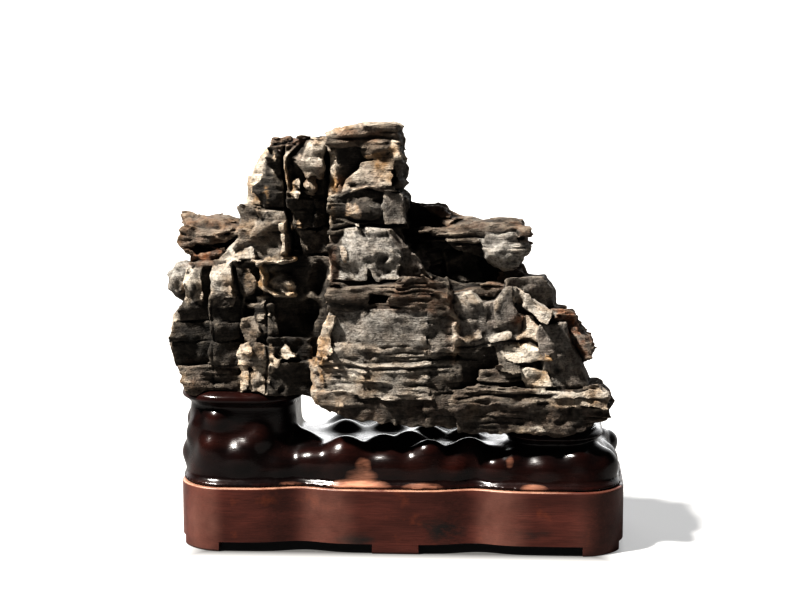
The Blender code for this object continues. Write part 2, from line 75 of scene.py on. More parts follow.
# Plinth
STAND_LENGTH = 451.0
STAND_DEPTH = 176.0
PLINTH_TOP = 65.6
PLINTH_CORNER = 46.0
FOOT_HEIGHT = 9.6
NOTCH_DEPTH = 9.0
NOTCH_SPREAD = 27.0
NOTCHES = (-104.0, 71.0)
CENTRE_FOOT = (-31.0, 16.0)
CORNER_FOOT_REACH = 42.0
FOOT_DEPTH = 26.0

# Carved top
SEAM = 0.3
CARVING_INSET = 3.5
GROUND_TOP = 103.0
LEFT_SOCKET = dict(middle=-167.0, half=(63.0, 74.0), corner=50.0, rim=160.0, lip=10.0, seat=150.0)
RIGHT_SOCKET = dict(middle=151.0, half=(51.0, 68.0), corner=42.0, rim=120.5, lip=7.5, seat=112.0)
LEFT_FOOT = dict(x=(-216, -118), y=(-59, 56), corner=38.0, top=176.0)
RIGHT_FOOT = dict(x=(112, 190), y=(-55, 52), corner=32.0, top=140.0)
SOCKET_CLEARANCE = 1.2
RIM_CLEARANCE = 0.7
SEAT_GAP = 0.35

# The stone's blocks as (outline (x, z), front, back, turn to the right, lean back, tone).
BLOCKS = (
    # Crown
    ([(-77, 420), (-52, 427), (-28, 432), (-12, 432), (-9, 430), (-75, 416)], -46, 30, -4, 34, "tan"),
    ([(-76, 418), (-30, 428), (-9, 430), (-5, 411), (-36, 409), (-76, 403)], -52, 24, 8, -2, "laminated"),
    ([(-70, 406), (-6, 414), (-5, 372), (-9, 366), (-70, 361)], -34, 24, 22, -6, "dark"),
    ([(-71, 407), (-60, 405), (-60, 362), (-71, 362)], -47, 30, 26, 0, "brown"),
    ([(-64, 371), (-44, 388), (-12, 400), (-12, 370), (-26, 365), (-64, 364)], -56, 20, -4, 17, "tan"),
    ([(-14, 413), (-7, 412), (-4, 398), (-13, 396)], -51, -16, -24, 8, "cream"),
    ([(-10, 397), (-5, 395), (-4, 372), (-7, 365), (-11, 368)], -46, -14, 30, 0, "common"),
    ([(-73, 374), (-60, 371), (-12, 370), (-6, 364), (-73, 360)], -59, 34, 0, 4, "laminated"),
    ([(-78, 412), (-69, 411), (-69, 368), (-77, 366)], -43, 26, -42, 0, "cream"),
    ([(-77, 368), (-69, 368), (-69, 328), (-76, 328)], -44, 26, -42, 0, "tan"),
    # Below the crown
    ([(-73, 361), (-6, 365), (0, 355), (-1, 331), (-7, 324), (-73, 323)], -53, 38, 12, -2, "dark"),
    ([(-20, 363), (-2, 361), (-1, 332), (-18, 329)], -57, 30, 8, 3, "mauve"),
    ([(-71, 354), (-56, 355), (-51, 340), (-68, 336)], -58, 20, -20, 6, "tan"),
    ([(-73, 324), (-9, 327), (0, 310), (17, 274), (-73, 270)], -52, 44, 12, 0, "dark"),
    ([(-68, 318), (-46, 326), (-36, 302), (-38, 277), (-68, 275)], -64, 30, -22, 5, "grey"),
    ([(-48, 326), (-20, 323), (-6, 302), (-8, 277), (-40, 277), (-38, 302)], -69, 30, 6, 4, "grey"),
    ([(-16, 324), (0, 310), (24, 274), (-11, 272)], -58, 30, 30, 4, "mauve"),
    ([(-76, 318), (-67, 320), (-66, 276), (-76, 276)], -50, 26, -40, 0, "tan"),
    # The projecting ledges
    (
        [(-73, 277), (-34, 277), (-6, 280), (14, 285), (38, 277), (44, 266), (-73, 265)],
        -76, 52, 0, 6, "laminated",
    ),
    ([(-8, 272), (6, 280), (28, 278), (46, 268), (46, 262), (-8, 264)], -81, 40, 4, 0, "brown"),
    ([(-74, 270), (-52, 272), (-36, 267), (-32, 255), (-74, 256)], -86, 40, 6, -6, "laminated"),
    (
        [(-36, 262), (-12, 263), (-8, 268), (30, 269), (46, 262), (49, 246), (4, 250), (-36, 255)],
        -85, 48, 2, -8, "brown",
    ),
    ([(-73, 260), (16, 256), (44, 250), (40, 244), (-73, 248)], -80, 50, 0, 0, "dark"),
    # Second column
    ([(-120, 409), (-104, 416), (-77, 414), (-74, 385), (-75, 356), (-118, 356)], -34, 34, 20, 0, "dark"),
    ([(-101, 392), (-86, 393), (-85, 378), (-99, 377)], -46, 20, -12, 4, "tan"),
    ([(-112, 376), (-104, 377), (-105, 358), (-110, 360)], -47, 20, -34, 0, "cream"),
    ([(-92, 413), (-78, 415), (-77, 402), (-90, 400)], -46, 20, 6, 12, "tan"),
    ([(-115, 354), (-88, 356), (-89, 329), (-110, 328)], -42, 38, 28, -4, "dark"),
    ([(-90, 355), (-74, 356), (-73, 328), (-90, 328)], -36, 38, 26, 0, "dark"),
    ([(-109, 323), (-82, 324), (-80, 300), (-104, 297)], -38, 40, 26, 0, "dark"),
    ([(-84, 327), (-72, 326), (-72, 300), (-84, 300)], -32, 40, 20, 0, "dark"),
    ([(-116, 356), (-110, 356), (-105, 327), (-110, 327)], -43, 20, -38, 0, "tan"),
    ([(-110, 324), (-104, 324), (-99, 299), (-104, 298)], -39, 20, -38, 0, "tan"),
    ([(-112, 300), (-68, 300), (-66, 206), (-118, 206)], -24, 58, 26, -6, "dark"),
    # First column
    ([(-136, 408), (-123, 411), (-104, 412), (-104, 402), (-134, 399)], -36, 16, 0, 10, "brown"),
    ([(-153, 377), (-149, 392), (-141, 406), (-131, 406), (-131, 377)], -35, 28, -38, 0, "cream"),
    ([(-135, 408), (-121, 409), (-119, 376), (-135, 377)], -41, 28, 24, 0, "dark"),
    ([(-156, 378), (-140, 378), (-140, 347), (-160, 347)], -38, 32, -37, 0, "cream"),
    ([(-142, 377), (-120, 376), (-119, 347), (-142, 347)], -45, 32, 18, 0, "dark"),
    ([(-164, 347), (-146, 347), (-146, 321), (-165, 320)], -46, 38, -20, 2, "speckled"),
    ([(-149, 347), (-118, 347), (-116, 321), (-149, 320)], -52, 38, 12, 0, "speckled"),
    ([(-164, 322), (-116, 322), (-117, 296), (-150, 292), (-168, 305)], -52, 44, 4, 2, "speckled"),
    ([(-125, 331), (-119, 333), (-118, 304), (-123, 303)], -57, 20, -32, 0, "cream"),
    # Arm
    ([(-190, 291), (-183, 301), (-158, 322), (-150, 300), (-146, 291)], -54, 40, -16, 30, "light grey"),
    (
        [(-222, 330), (-204, 332), (-182, 331), (-160, 324), (-160, 320), (-220, 322)],
        -40, 34, -6, 38, "crumbly",
    ),
    ([(-221, 325), (-190, 325), (-160, 322), (-160, 316), (-218, 316)], -44, 44, 0, 0, "crumbly"),
    ([(-233, 308), (-225, 320), (-203, 320), (-204, 301), (-222, 300)], -40, 24, -14, 6, "crumbly"),
    ([(-208, 320), (-160, 320), (-160, 296), (-208, 296)], -22, 36, 20, 0, "dark"),
    ([(-222, 302), (-182, 304), (-184, 293), (-218, 292)], -49, 30, 4, 2, "rust"),
    ([(-221, 293), (-182, 294), (-160, 296), (-162, 288), (-216, 287)], -55, 38, 0, 18, "common"),
    # Nose and the faces beside it
    (
        [(-246, 273), (-236, 285), (-212, 287), (-210, 249), (-229, 250), (-242, 261)],
        -38, 28, 6, 0, "grey",
    ),
    ([(-217, 286), (-203, 287), (-202, 252), (-217, 250)], -55, 44, -22, 4, "light grey"),
    ([(-204, 287), (-190, 288), (-190, 255), (-204, 255)], -50, 50, 28, 0, "dark"),
    ([(-193, 290), (-172, 292), (-171, 257), (-193, 256)], -61, 50, -24, 8, "light grey"),
    ([(-173, 290), (-142, 296), (-142, 255), (-171, 256)], -52, 56, 24, 0, "dark"),
    (
        [(-167, 287), (-158, 284), (-152, 273), (-152, 262), (-162, 258), (-166, 270)],
        -55, 20, -16, 4, "speckled",
    ),
    ([(-142, 294), (-110, 294), (-108, 254), (-142, 255)], -45, 50, 24, -6, "dark"),
    # Courses on the left
    ([(-223, 253), (-193, 257), (-193, 230), (-228, 230)], -54, 46, 22, -2, "dark"),
    ([(-194, 257), (-162, 258), (-162, 231), (-194, 230)], -60, 54, 20, -2, "dark"),
    ([(-192, 256), (-170, 257), (-172, 246), (-192, 248)], -63, 40, -4, 14, "common"),
    ([(-235, 231), (-193, 231), (-193, 210), (-237, 210)], -57, 50, 22, -2, "dark"),
    ([(-194, 232), (-162, 232), (-163, 211), (-194, 210)], -62, 60, 18, -2, "dark"),
    ([(-237, 211), (-193, 211), (-193, 187), (-230, 186)], -56, 44, 20, -2, "dark"),
    ([(-194, 212), (-163, 212), (-164, 187), (-194, 186)], -61, 56, 16, -2, "dark"),
    ([(-229, 187), (-165, 188), (-165, 158), (-218, 158)], -60, 50, 8, -2, "laminated"),
    # The pale strip and the dark blocks right of it
    ([(-163, 236), (-150, 238), (-146, 207), (-163, 207)], -64, 60, -20, 0, "speckled"),
    ([(-152, 249), (-132, 249), (-130, 207), (-148, 207)], -61, 60, 14, 0, "dark"),
    ([(-162, 252), (-140, 253), (-138, 246), (-160, 244)], -61, 50, -6, 14, "common"),
    ([(-150, 240), (-134, 242), (-134, 236), (-148, 234)], -64, 40, -8, 22, "tan"),
    ([(-165, 209), (-153, 209), (-154, 159), (-166, 159)], -66, 52, -22, 0, "yellow"),
    ([(-156, 209), (-134, 209), (-134, 184), (-157, 184)], -66, 52, 4, 0, "speckled"),
    ([(-157, 186), (-136, 186), (-137, 159), (-157, 159)], -67, 52, -12, 2, "crust"),
    ([(-150, 257), (-118, 257), (-114, 224), (-142, 222)], -48, 50, 24, -8, "dark"),
    ([(-140, 212), (-96, 214), (-92, 186), (-138, 186)], -57, 62, 22, -4, "dark"),
    ([(-134, 208), (-121, 206), (-112, 197), (-128, 190), (-136, 196)], -60, 40, -20, 18, "yellow"),
    (
        [(-134, 196), (-126, 192), (-133, 172), (-138, 158), (-146, 158), (-142, 180)],
        -66, 40, -38, 0, "yellow",
    ),
    ([(-136, 187), (-92, 187), (-84, 172), (-84, 154), (-136, 157)], -60, 54, 16, -6, "dark"),
    # The great middle face
    ([(-70, 252), (-38, 252), (-38, 214), (-79, 214)], -77, 66, -18, 3, "granular"),
    ([(-43, 252), (0, 251), (0, 214), (-43, 214)], -85, 66, -5, 3, "granular"),
    ([(-52, 251), (24, 250), (24, 214), (-52, 214)], -83, 66, -6, 3, "granular"),
    ([(-4, 251), (28, 250), (28, 214), (-4, 214)], -84.6, 66, 8, 2, "granular"),
    ([(25, 250), (44, 247), (54, 214), (55, 185), (25, 184)], -79, 66, 19, 1, "common"),
    ([(-79, 216), (-38, 217), (-38, 160), (-84, 160), (-86, 186)], -78, 62, -17, 1, "rippled"),
    ([(-43, 217), (0, 218), (0, 160), (-43, 160)], -85.4, 62, -4, 1, "rippled"),
    ([(-52, 217), (26, 217), (26, 160), (-52, 160)], -83, 62, -4, 1, "rippled"),
    ([(-3, 217), (28, 218), (28, 160), (-3, 160)], -85, 62, 8, 1, "rippled"),
    ([(25, 188), (55, 188), (58, 160), (25, 160)], -79, 60, 18, -2, "common"),
    ([(-82, 162), (26, 162), (26, 128), (-4, 132), (-57, 138), (-80, 149)], -80, 60, 2, -9, "mottled"),
    ([(-86, 162), (-66, 163), (-62, 143), (-80, 149)], -80, 60, -16, 0, "tan"),
    ([(22, 162), (56, 162), (58, 150), (54, 126), (22, 129)], -77, 60, 13, -9, "mottled"),
    ([(-73, 240), (-67, 240), (-70, 216), (-80, 188), (-90, 188), (-81, 214)], -76, 40, -40, 0, "yellow"),
    ([(-92, 190), (-82, 189), (-78, 160), (-74, 142), (-86, 150), (-90, 172)], -72, 40, -30, 0, "tan"),
    # Right of the middle face
    ([(46, 264), (66, 266), (82, 253), (84, 226), (50, 226)], -71, 56, 4, 5, "mauve"),
    ([(78, 254), (94, 254), (94, 228), (78, 228)], -68, 56, 2, 6, "mauve"),
    ([(90, 252), (100, 266), (108, 268), (114, 234), (90, 228)], -69, 56, 8, 4, "mauve"),
    ([(56, 265), (68, 266), (78, 257), (74, 254), (56, 257)], -72.4, 40, -6, 22, "light grey"),
    ([(57, 226), (63, 229), (78, 227), (80, 222), (58, 220)], -73, 50, -4, 26, "light grey"),
    ([(86, 220), (95, 225), (108, 224), (108, 219), (88, 216)], -72, 50, -4, 26, "light grey"),
    ([(53, 236), (120, 240), (122, 213), (54, 210)], -70, 60, 8, -2, "mauve"),
    ([(112, 243), (126, 241), (139, 229), (138, 217), (116, 219)], -67, 46, -4, 8, "crust"),
    ([(106, 250), (142, 245), (143, 219), (108, 219)], -54, 54, 10, 0, "mauve"),
    ([(54, 214), (98, 218), (98, 186), (54, 184)], -69, 62, 18, -5, "dark"),
    ([(92, 215), (144, 222), (156, 187), (118, 181), (94, 186)], -66, 60, 6, 4, "common"),
    ([(98, 205), (114, 215), (126, 213), (148, 199), (140, 196), (104, 196)], -71, 46, -6, 22, "white"),
    ([(138, 230), (163, 232), (188, 162), (138, 161)], -66, 46, 22, 2, "mauve"),
    ([(54, 188), (78, 188), (78, 160), (54, 159)], -70, 58, 18, -4, "dark"),
    ([(74, 189), (120, 189), (121, 160), (74, 160)], -72, 62, 16, -2, "laminated"),
    ([(74, 190), (112, 192), (114, 187), (76, 186)], -73, 50, 0, 24, "common"),
    ([(119, 187), (145, 189), (146, 173), (138, 165), (121, 165)], -75, 50, -8, 6, "white"),
    ([(102, 275), (136, 277), (146, 264), (150, 246), (104, 252)], -44, 24, 16, 0, "mauve"),
    (
        [(108, 267), (115, 268), (147, 245), (145, 233), (136, 236), (106, 258)],
        -71, 40, -14, 20, "light grey",
    ),
    ([(148, 245), (168, 239), (187, 203), (184, 192), (169, 185), (150, 198)], -42, 26, 0, 4, "rust"),
    # Long slabs at the bottom right
    ([(50, 166), (194, 170), (206, 160), (197, 149), (50, 146)], -76, 46, 6, 0, "laminated"),
    (
        [(96, 166), (140, 167), (192, 171), (203, 164), (196, 161), (98, 162)],
        -78, 50, -2, 34, "light grey",
    ),
    ([(70, 157), (118, 159), (120, 153), (72, 151)], -79, 50, 0, 36, "common"),
    ([(140, 158), (180, 164), (205, 160), (204, 154), (150, 151)], -78, 44, -2, 26, "tan"),
    (
        [(50, 150), (196, 152), (209, 150), (200, 140), (178, 130), (158, 122), (56, 124)],
        -76, 50, 6, -8, "mottled",
    ),
    ([(92, 131), (130, 133), (134, 128), (94, 124)], -77, 40, -4, 14, "light grey"),
    # The overhang at the upper right
    ([(24, 320), (60, 328), (101, 336), (110, 335), (111, 329), (26, 316)], -36, 24, -2, 24, "laminated"),
    ([(28, 317), (60, 322), (108, 328), (112, 319), (60, 313)], -42, 28, 2, 0, "laminated"),
    ([(74, 316), (108, 320), (118, 304), (113, 288), (98, 284), (82, 294)], -43, 10, -6, -6, "grey"),
    ([(40, 314), (77, 317), (84, 294), (58, 297)], -30, 26, 24, -8, "dark"),
    ([(107, 329), (114, 330), (119, 326), (120, 314), (107, 313)], -42, 0, -8, 6, "brown"),
    ([(93, 288), (114, 290), (119, 274), (95, 270)], -28, 10, 16, -8, "brown"),
    # The mass behind
    (
        [(-3, 358), (18, 356), (34, 345), (46, 330), (40, 324), (26, 334), (10, 344), (-4, 344)],
        -12, 42, -6, 44, "brown",
    ),
    ([(-5, 346), (16, 344), (32, 334), (45, 322), (48, 306), (-5, 304)], 0, 42, 10, 0, "dark"),
    ([(34, 326), (58, 319), (73, 319), (74, 304), (36, 304)], -8, 40, 14, 0, "dark"),
    ([(-6, 312), (98, 308), (103, 252), (-2, 252)], 6, 52, 16, 0, "dark"),
    ([(28, 304), (56, 298), (76, 260), (30, 260)], -14, 30, 24, 10, "dark"),
    ([(40, 262), (104, 272), (110, 262), (110, 250), (46, 250)], -48, 44, 16, 0, "brown"),
    ([(-132, 268), (-130, 396), (-14, 404), (-8, 268)], -20, 26, 10, 0, "dark"),
    (
        [(-214, 288), (-110, 300), (10, 280), (128, 262), (164, 190), (60, 142), (-92, 170), (-212, 178)],
        -42, 40, 0, 0, "dark",
    ),
)

# What each tone of the stone is like: how rusty, pale, grey and dark it is, and how strongly
# it is bedded, flaked and grained.
TONES = {
    "common": (0.10, 0.08, 0.20, 0.40, 1.0, 1.0, 1.0),
    "dark": (0.06, 0.00, 0.05, 0.95, 0.8, 0.7, 0.9),
    "laminated": (0.25, 0.12, 0.10, 0.66, 1.5, 0.6, 0.8),
    "brown": (0.55, 0.08, 0.00, 0.50, 1.3, 0.7, 0.8),
    "crumbly": (0.55, 0.25, 0.00, 0.45, 1.3, 1.7, 2.2),
    "rust": (1.00, 0.00, 0.00, 0.10, 1.6, 1.3, 1.4),
    "crust": (0.20, 0.75, 0.20, 0.10, 0.8, 1.3, 2.2),
    "tan": (0.35, 0.60, 0.00, 0.05, 1.0, 0.8, 1.4),
    "yellow": (0.25, 0.85, 0.00, 0.05, 0.8, 1.1, 2.0),
    "cream": (0.05, 0.90, 0.20, 0.00, 0.6, 0.7, 1.4),
    "white": (0.00, 1.00, 0.60, 0.00, 0.8, 0.7, 1.8),
    "light grey": (0.05, 0.45, 0.75, 0.03, 0.5, 0.4, 1.2),
    "grey": (0.00, 0.10, 0.90, 0.10, 0.4, 0.3, 1.5),
    "granular": (0.05, 0.16, 0.92, 0.06, 0.4, 0.15, 1.1),
    "rippled": (0.12, 0.34, 0.75, 0.18, 1.5, 0.4, 1.4),
    "speckled": (0.15, 0.35, 0.30, 0.55, 0.8, 1.0, 1.8),
    "mottled": (0.30, 0.08, 0.15, 0.85, 1.0, 0.5, 1.6),
    "mauve": (0.16, 0.05, 0.60, 0.25, 0.3, 0.3, 0.7),
}

# Rounded bars of stone: from (x, y, z), to (x, y, z), half width at each end, tone.
BARS = (
    ((93, -69, 252), (102, -66, 264), 3.6, 2.6, "light grey"),
    ((108, -40, 305), (117, -37, 304), 9.5, 8.5, "grey"),
    ((-146, -50, 288), (-136, -53, 294), 3.2, 3.0, "cream"),
    ((-136, -53, 294), (-112, -49, 296), 3.0, 1.8, "cream"),
    ((-144, -53, 286), (-142, -56, 270), 2.8, 3.8, "cream"),
    ((-142, -56, 270), (-130, -57, 260), 3.8, 2.2, "cream"),
    ((-130, -57, 260), (-112, -53, 262), 2.0, 1.2, "cream"),
)

# Weathered bosses, rounder than the blocks: middle (x, y, z), half sizes, tilt in degrees.
BOSSES = (
    ((-29, -38, 406), (16, 15, 12), 0),
    ((-38, -49, 344), (18, 16, 16), 0),
    ((-45, -52, 300), (26, 20, 24), 0),
    ((-22, -54, 304), (18, 18, 20), 0),
    ((-95, -36, 400), (11, 13, 14), -8),
    ((-94, -38, 370), (6, 8, 12), 0),
    ((-137, -44, 361), (15, 10, 12), 0),
    ((-208, -32, 309), (12, 14, 9), 0),
    ((-232, -26, 267), (14, 22, 16), 0),
    ((-182, -56, 271), (11, 10, 14), 0),
    ((-212, -50, 268), (8, 12, 17), 0),
    ((-126, -46, 268), (16, 10, 15), 0),
    ((-228, -28, 222), (11, 32, 16), 0),
    ((-227, -24, 198), (11, 30, 13), 0),
    ((115, -36, 305), (10, 12, 9), 0),
    ((98, -36, 303), (18, 14, 14), -12),
    ((62, -64, 250), (15, 13, 11), 0),
    ((20, -22, 283), (14, 14, 24), 20),
    ((58, -16, 282), (18, 12, 16), 0),
    ((-60, 42, 300), (30, 16, 26), 0),
    ((30, 50, 220), (36, 20, 28), 0),
    ((-150, 46, 220), (28, 18, 24), 0),
)

# Hollows worn into the stone: middle (x, y, z), half sizes, tilt in degrees.
HOLLOWS = (
    ((-194, -50, 311), (17, 22, 5), 18),
    ((-205, -48, 303), (10, 16, 4), 10),
    ((-134, -52, 384), (9, 12, 12), -20),
    ((-112, -46, 391), (7, 16, 18), 6),
    ((-20, -78, 290), (9, 14, 14), 0),
    ((-96, -58, 336), (12, 14, 18), 0),
    ((-98, -46, 235), (10, 22, 24), -8),
    ((-88, -52, 270), (12, 26, 22), 0),
    ((62, -44, 284), (34, 34, 14), -6),
    ((78, -84, 268), (12, 16, 9), 0),
    ((118, -74, 262), (6, 16, 12), -20),
    ((-58, -90, 246), (12, 8, 4), 0),
    ((10, -92, 247), (30, 10, 4), 0),
    ((-112, -64, 236), (12, 12, 6), 0),
    ((148, -44, 250), (7, 16, 8), 0),
    ((22, 30, 338), (14, 14, 10), 0),
    ((-30, 62, 252), (26, 12, 9), 10),
    ((84, 58, 236), (20, 12, 12), -14),
    ((-196, 52, 262), (18, 12, 9), 0),
    ((-110, 44, 352), (12, 10, 16), 0),
)

# Cracks cut into the front: (x, z) to (x, z), half width and depth.
CRACKS = (
    ((-193, 256), (-192, 160), 0.4, 3.5),
    ((-231, 231), (-160, 232), 0.3, 3.0),
    ((-236, 211), (-161, 212), 0.4, 3.5),
    ((-229, 187), (-163, 188), 0.3, 3.0),
    ((-171, 286), (-166, 256), 0.8, 7.0),
    ((-166, 256), (-164, 210), 0.5, 4.0),
    ((-121, 408), (-116, 300), 1.0, 9.0),
    ((-80, 404), (-79, 330), 1.0, 9.0),
    ((-157, 377), (-118, 376), 0.3, 2.5),
    ((-150, 347), (-116, 346), 0.6, 4.5),
    ((-112, 324), (-70, 325), 0.4, 3.5),
    ((-70, 325), (-4, 327), 0.9, 6.0),
    ((-70, 274), (20, 276), 0.9, 6.0),
    ((-164, 293), (-112, 296), 0.5, 5.0),
    ((55, 213), (122, 216), 0.8, 5.0),
    ((55, 160), (152, 163), 0.8, 5.0),
    ((-140, 250), (-136, 158), 0.5, 4.0),
)

# Raised ribs and veins on the front: points (x, z), half width, height.
RIBS = (
    ([(-146, 289), (-138, 294), (-124, 293), (-112, 296)], 3.0, 7.0),
    ([(-146, 287), (-141, 276), (-140, 266), (-128, 260), (-116, 259)], 2.6, 6.0),
    ([(-219, 284), (-221, 270), (-219, 254), (-214, 244)], 1.6, 3.4),
    ([(42, 262), (49, 250), (53, 236), (54, 220), (50, 204)], 3.4, 6.5),
    ([(-108, 408), (-115, 398), (-118, 384), (-117, 370)], 1.6, 6.0),
    ([(-68, 338), (-56, 331), (-46, 327), (-36, 328)], 1.4, 4.0),
    ([(8, 300), (16, 286), (26, 276)], 2.0, 4.0),
    ([(36, 300), (42, 284), (44, 262)], 1.6, 4.0),
    ([(-30, 366), (-60, 362), (-70, 363)], 1.6, 3.0),
    ([(-72, 193), (-30, 190), (4, 191), (42, 194)], 1.1, 3.2),
    ([(-78, 187), (-40, 184), (10, 186), (48, 188)], 1.1, 2.6),
    ([(-76, 178), (-50, 179), (-22, 176)], 1.6, 2.8),
    ([(-70, 163), (-30, 160), (20, 163), (48, 166)], 1.0, 2.2),
    ([(6, 222), (28, 221)], 1.0, 2.0),
    ([(4, 208), (26, 209)], 1.0, 2.0),
    ([(-4, 200), (36, 202)], 1.0, 2.0),
)

# Patches of colour on the stone: middle (x, y, z), half sizes, strength.
RUST_PATCHES = (
    ((172, -20, 218), (26, 40, 34), 1.0),
    ((-214, -42, 294), (30, 30, 12), 0.8),
    ((-118, -30, 412), (22, 30, 12), 0.75),
    ((-204, -40, 322), (30, 30, 12), 0.55),
    ((-40, -50, 420), (44, 20, 10), 0.6),
    ((-8, -44, 404), (10, 20, 10), 0.8),
    ((118, -30, 318), (14, 26, 9), 0.6),
    ((112, -22, 282), (22, 26, 9), 0.5),
    ((-68, -50, 368), (12, 20, 10), 0.9),
    ((-70, -50, 290), (7, 24, 44), 0.8),
    ((-82, -70, 214), (12, 20, 30), 0.5),
    ((50, -76, 222), (8, 20, 30), 1.0),
    ((4, -84, 254), (44, 20, 9), 0.55),
    ((120, -62, 236), (20, 20, 9), 0.9),
    ((64, -40, 330), (40, 40, 9), 0.35),
    ((-60, -60, 150), (40, 30, 12), 0.5),
    ((-216, -40, 180), (12, 30, 16), 0.6),
    ((60, 50, 300), (50, 30, 24), 0.5),
    ((-120, 50, 250), (40, 30, 24), 0.5),
    ((10, 60, 170), (60, 30, 16), 0.5),
    ((-40, 36, 390), (30, 30, 24), 0.45),
)
PALE_PATCHES = (
    ((51, -78, 226), (6, 18, 34), 0.55),
    ((-76, -76, 206), (10, 20, 40), 0.5),
    ((-72, -50, 370), (7, 24, 44), 0.7),
    ((-236, -30, 222), (12, 40, 16), 0.7),
    ((-234, -30, 198), (12, 40, 12), 0.6),
    ((-222, -50, 172), (10, 30, 14), 0.7),
    ((-219, -50, 264), (4, 24, 24), 1.0),
    ((-128, -60, 282), (14, 20, 8), 0.8),
    ((-142, -60, 270), (8, 20, 20), 0.8),
    ((-118, -44, 388), (5, 20, 26), 0.9),
    ((-94, -50, 364), (7, 20, 12), 0.6),
    ((-50, -80, 178), (24, 12, 6), 0.9),
    ((-60, -80, 190), (26, 12, 4), 0.7),
    ((-70, -76, 160), (20, 20, 12), 0.5),
    ((68, -80, 146), (10, 20, 14), 0.4),
    ((120, -70, 126), (18, 20, 6), 0.7),
    ((-20, 50, 330), (40, 30, 10), 0.5),
    ((-120, 60, 230), (20, 30, 30), 0.5),
    ((100, 60, 200), (40, 30, 14), 0.5),
)
GREY_PATCHES = (
    ((-37, -60, 298), (36, 26, 26), 1.0),
    ((-38, -58, 344), (22, 24, 18), 1.0),
    ((-94, -44, 398), (16, 24, 20), 0.9),
    ((-232, -26, 267), (20, 40, 22), 0.9),
    ((-188, -56, 271), (22, 24, 18), 1.0),
    ((-10, -84, 212), (90, 30, 44), 0.85),
    ((88, -44, 303), (46, 40, 26), 0.9),
    ((80, -70, 248), (44, 30, 18), 0.9),
    ((136, -60, 250), (26, 30, 24), 0.9),
    ((158, -50, 200), (26, 40, 40), 0.8),
    ((-170, -50, 306), (30, 30, 20), 0.6),
    ((120, -40, 264), (34, 40, 20), 0.7),
    ((-20, 60, 300), (60, 40, 40), 0.6),
    ((60, 60, 210), (60, 40, 40), 0.6),
    ((-170, 60, 250), (50, 40, 50), 0.5),
)

# Mounds carved on the ground between the sockets, as (x, y), from the front to the back.
MOUNDS = (
    (-102, -36),
    (26, -64),
    (66, -52),
    (-59, -56),
    (-22, -42),
    (4, -26),
    (-65, 22),
    (21, 3),
    (60, -8),
    (-20, 28),
    (70, 30),
    (30, 36),
    (-66, 60),
    (-20, 66),
    (46, 64),
)

# Knobs on the carving's front and, moved along a little, on its back: x, z, height, spread.
SIDE_KNOBS = (
    (-191, 131, 8.0, 10.0),
    (-209, 122, 8.0, 10.0),
    (-196, 103, 10.0, 14.0),
    (-147, 112, 9.0, 11.0),
    (-165, 95, 10.0, 14.0),
    (-124, 84, 4.0, 13.0),
    (-95, 90, 10.0, 13.0),
    (-61, 94, 12.0, 20.0),
    (-14, 90, 6.0, 18.0),
    (20, 84, 5.0, 16.0),
    (53, 84, 9.0, 12.0),
    (92, 86, 9.0, 12.0),
    (111, 97, 9.0, 8.0),
    (142, 86, 4.0, 14.0),
    (176, 97, 6.0, 10.0),
    (189, 107, 7.0, 10.0),
    (205, 92, 8.0, 13.0),
)

# Knobs on the carving's ends: which end, y, z, height, spread.
END_KNOBS = (
    (-1, -44, 112, 8.0, 11.0),
    (-1, -4, 119, 9.0, 11.0),
    (-1, 36, 128, 8.0, 11.0),
    (-1, -28, 90, 9.0, 12.0),
    (-1, 14, 88, 10.0, 12.0),
    (-1, 52, 98, 9.0, 12.0),
    (1, -40, 84, 8.0, 12.0),
    (1, 2, 80, 11.0, 14.0),
    (1, 44, 86, 9.0, 13.0),
    (1, 24, 102, 5.0, 9.0),
)

# Where the carving's foot is worn to the bare wood, lightened further as a painted highlight: middle (x, y,
# z), half sizes, strength.
WORN_FEET_AND_HIGHLIGHTS = (
    ((-44, -84, 68), (34, 14, 9), 1.2),
    ((-42, -84, 78), (20, 14, 10), 0.75),
    ((-40, -80, 88), (10, 14, 12), 0.6),
    ((20, -84, 68), (24, 14, 5), 0.8),
    ((-110, -84, 68), (20, 14, 6), 0.5),
    ((132, -84, 68), (16, 14, 5), 0.8),
    ((107, -80, 94), (6, 14, 10), 0.55),
    ((-20, 84, 70), (46, 14, 9), 0.8),
    ((120, 84, 69), (24, 14, 7), 0.7),
)

# Painted highlights on the board, lighter where it would catch the light: middle (x, y, z), half sizes,
# strength.
PLINTH_HIGHLIGHTS = (
    ((-202, -78, 30), (22, 40, 90), 1.0),
    ((-78, -88, 30), (34, 40, 90), 0.9),
    ((98, -88, 30), (32, 40, 90), 1.0),
    ((196, -78, 30), (34, 40, 90), 0.5),
    ((-230, -40, 30), (12, 40, 90), 0.9),
    ((40, 88, 30), (40, 40, 90), 0.8),
)

# Dark stains on the board: middle (x, y, z), half sizes, strength.
PLINTH_STAINS = (
    ((46, -88, 24), (24, 14, 14), 1.0),
    ((26, -88, 30), (16, 14, 8), 0.7),
    ((-48, -88, 14), (22, 14, 6), 1.0),
    ((132, -88, 22), (18, 14, 4), 0.8),
    ((-30, 88, 28), (30, 14, 12), 0.9),
    ((110, 88, 18), (26, 14, 8), 0.8),
    ((-130, 88, 40), (26, 14, 6), 0.6),
)

# Colours of the stone besides those in the sidebar
DEEP_RUST = (0.085, 0.046, 0.030)
OCHRE = (0.40, 0.25, 0.12)
# Lighter edges: partly wear, partly a painted highlight
WORN_EDGE_AND_HIGHLIGHT = (0.34, 0.29, 0.23)
DARK_SKIN = (0.016, 0.014, 0.012)
GRAIN_SHADOW = (0.014, 0.012, 0.010)
# Painted shade in the hollows, cracks and shut-in places
HOLLOW_SHADE = (0.008, 0.007, 0.006)

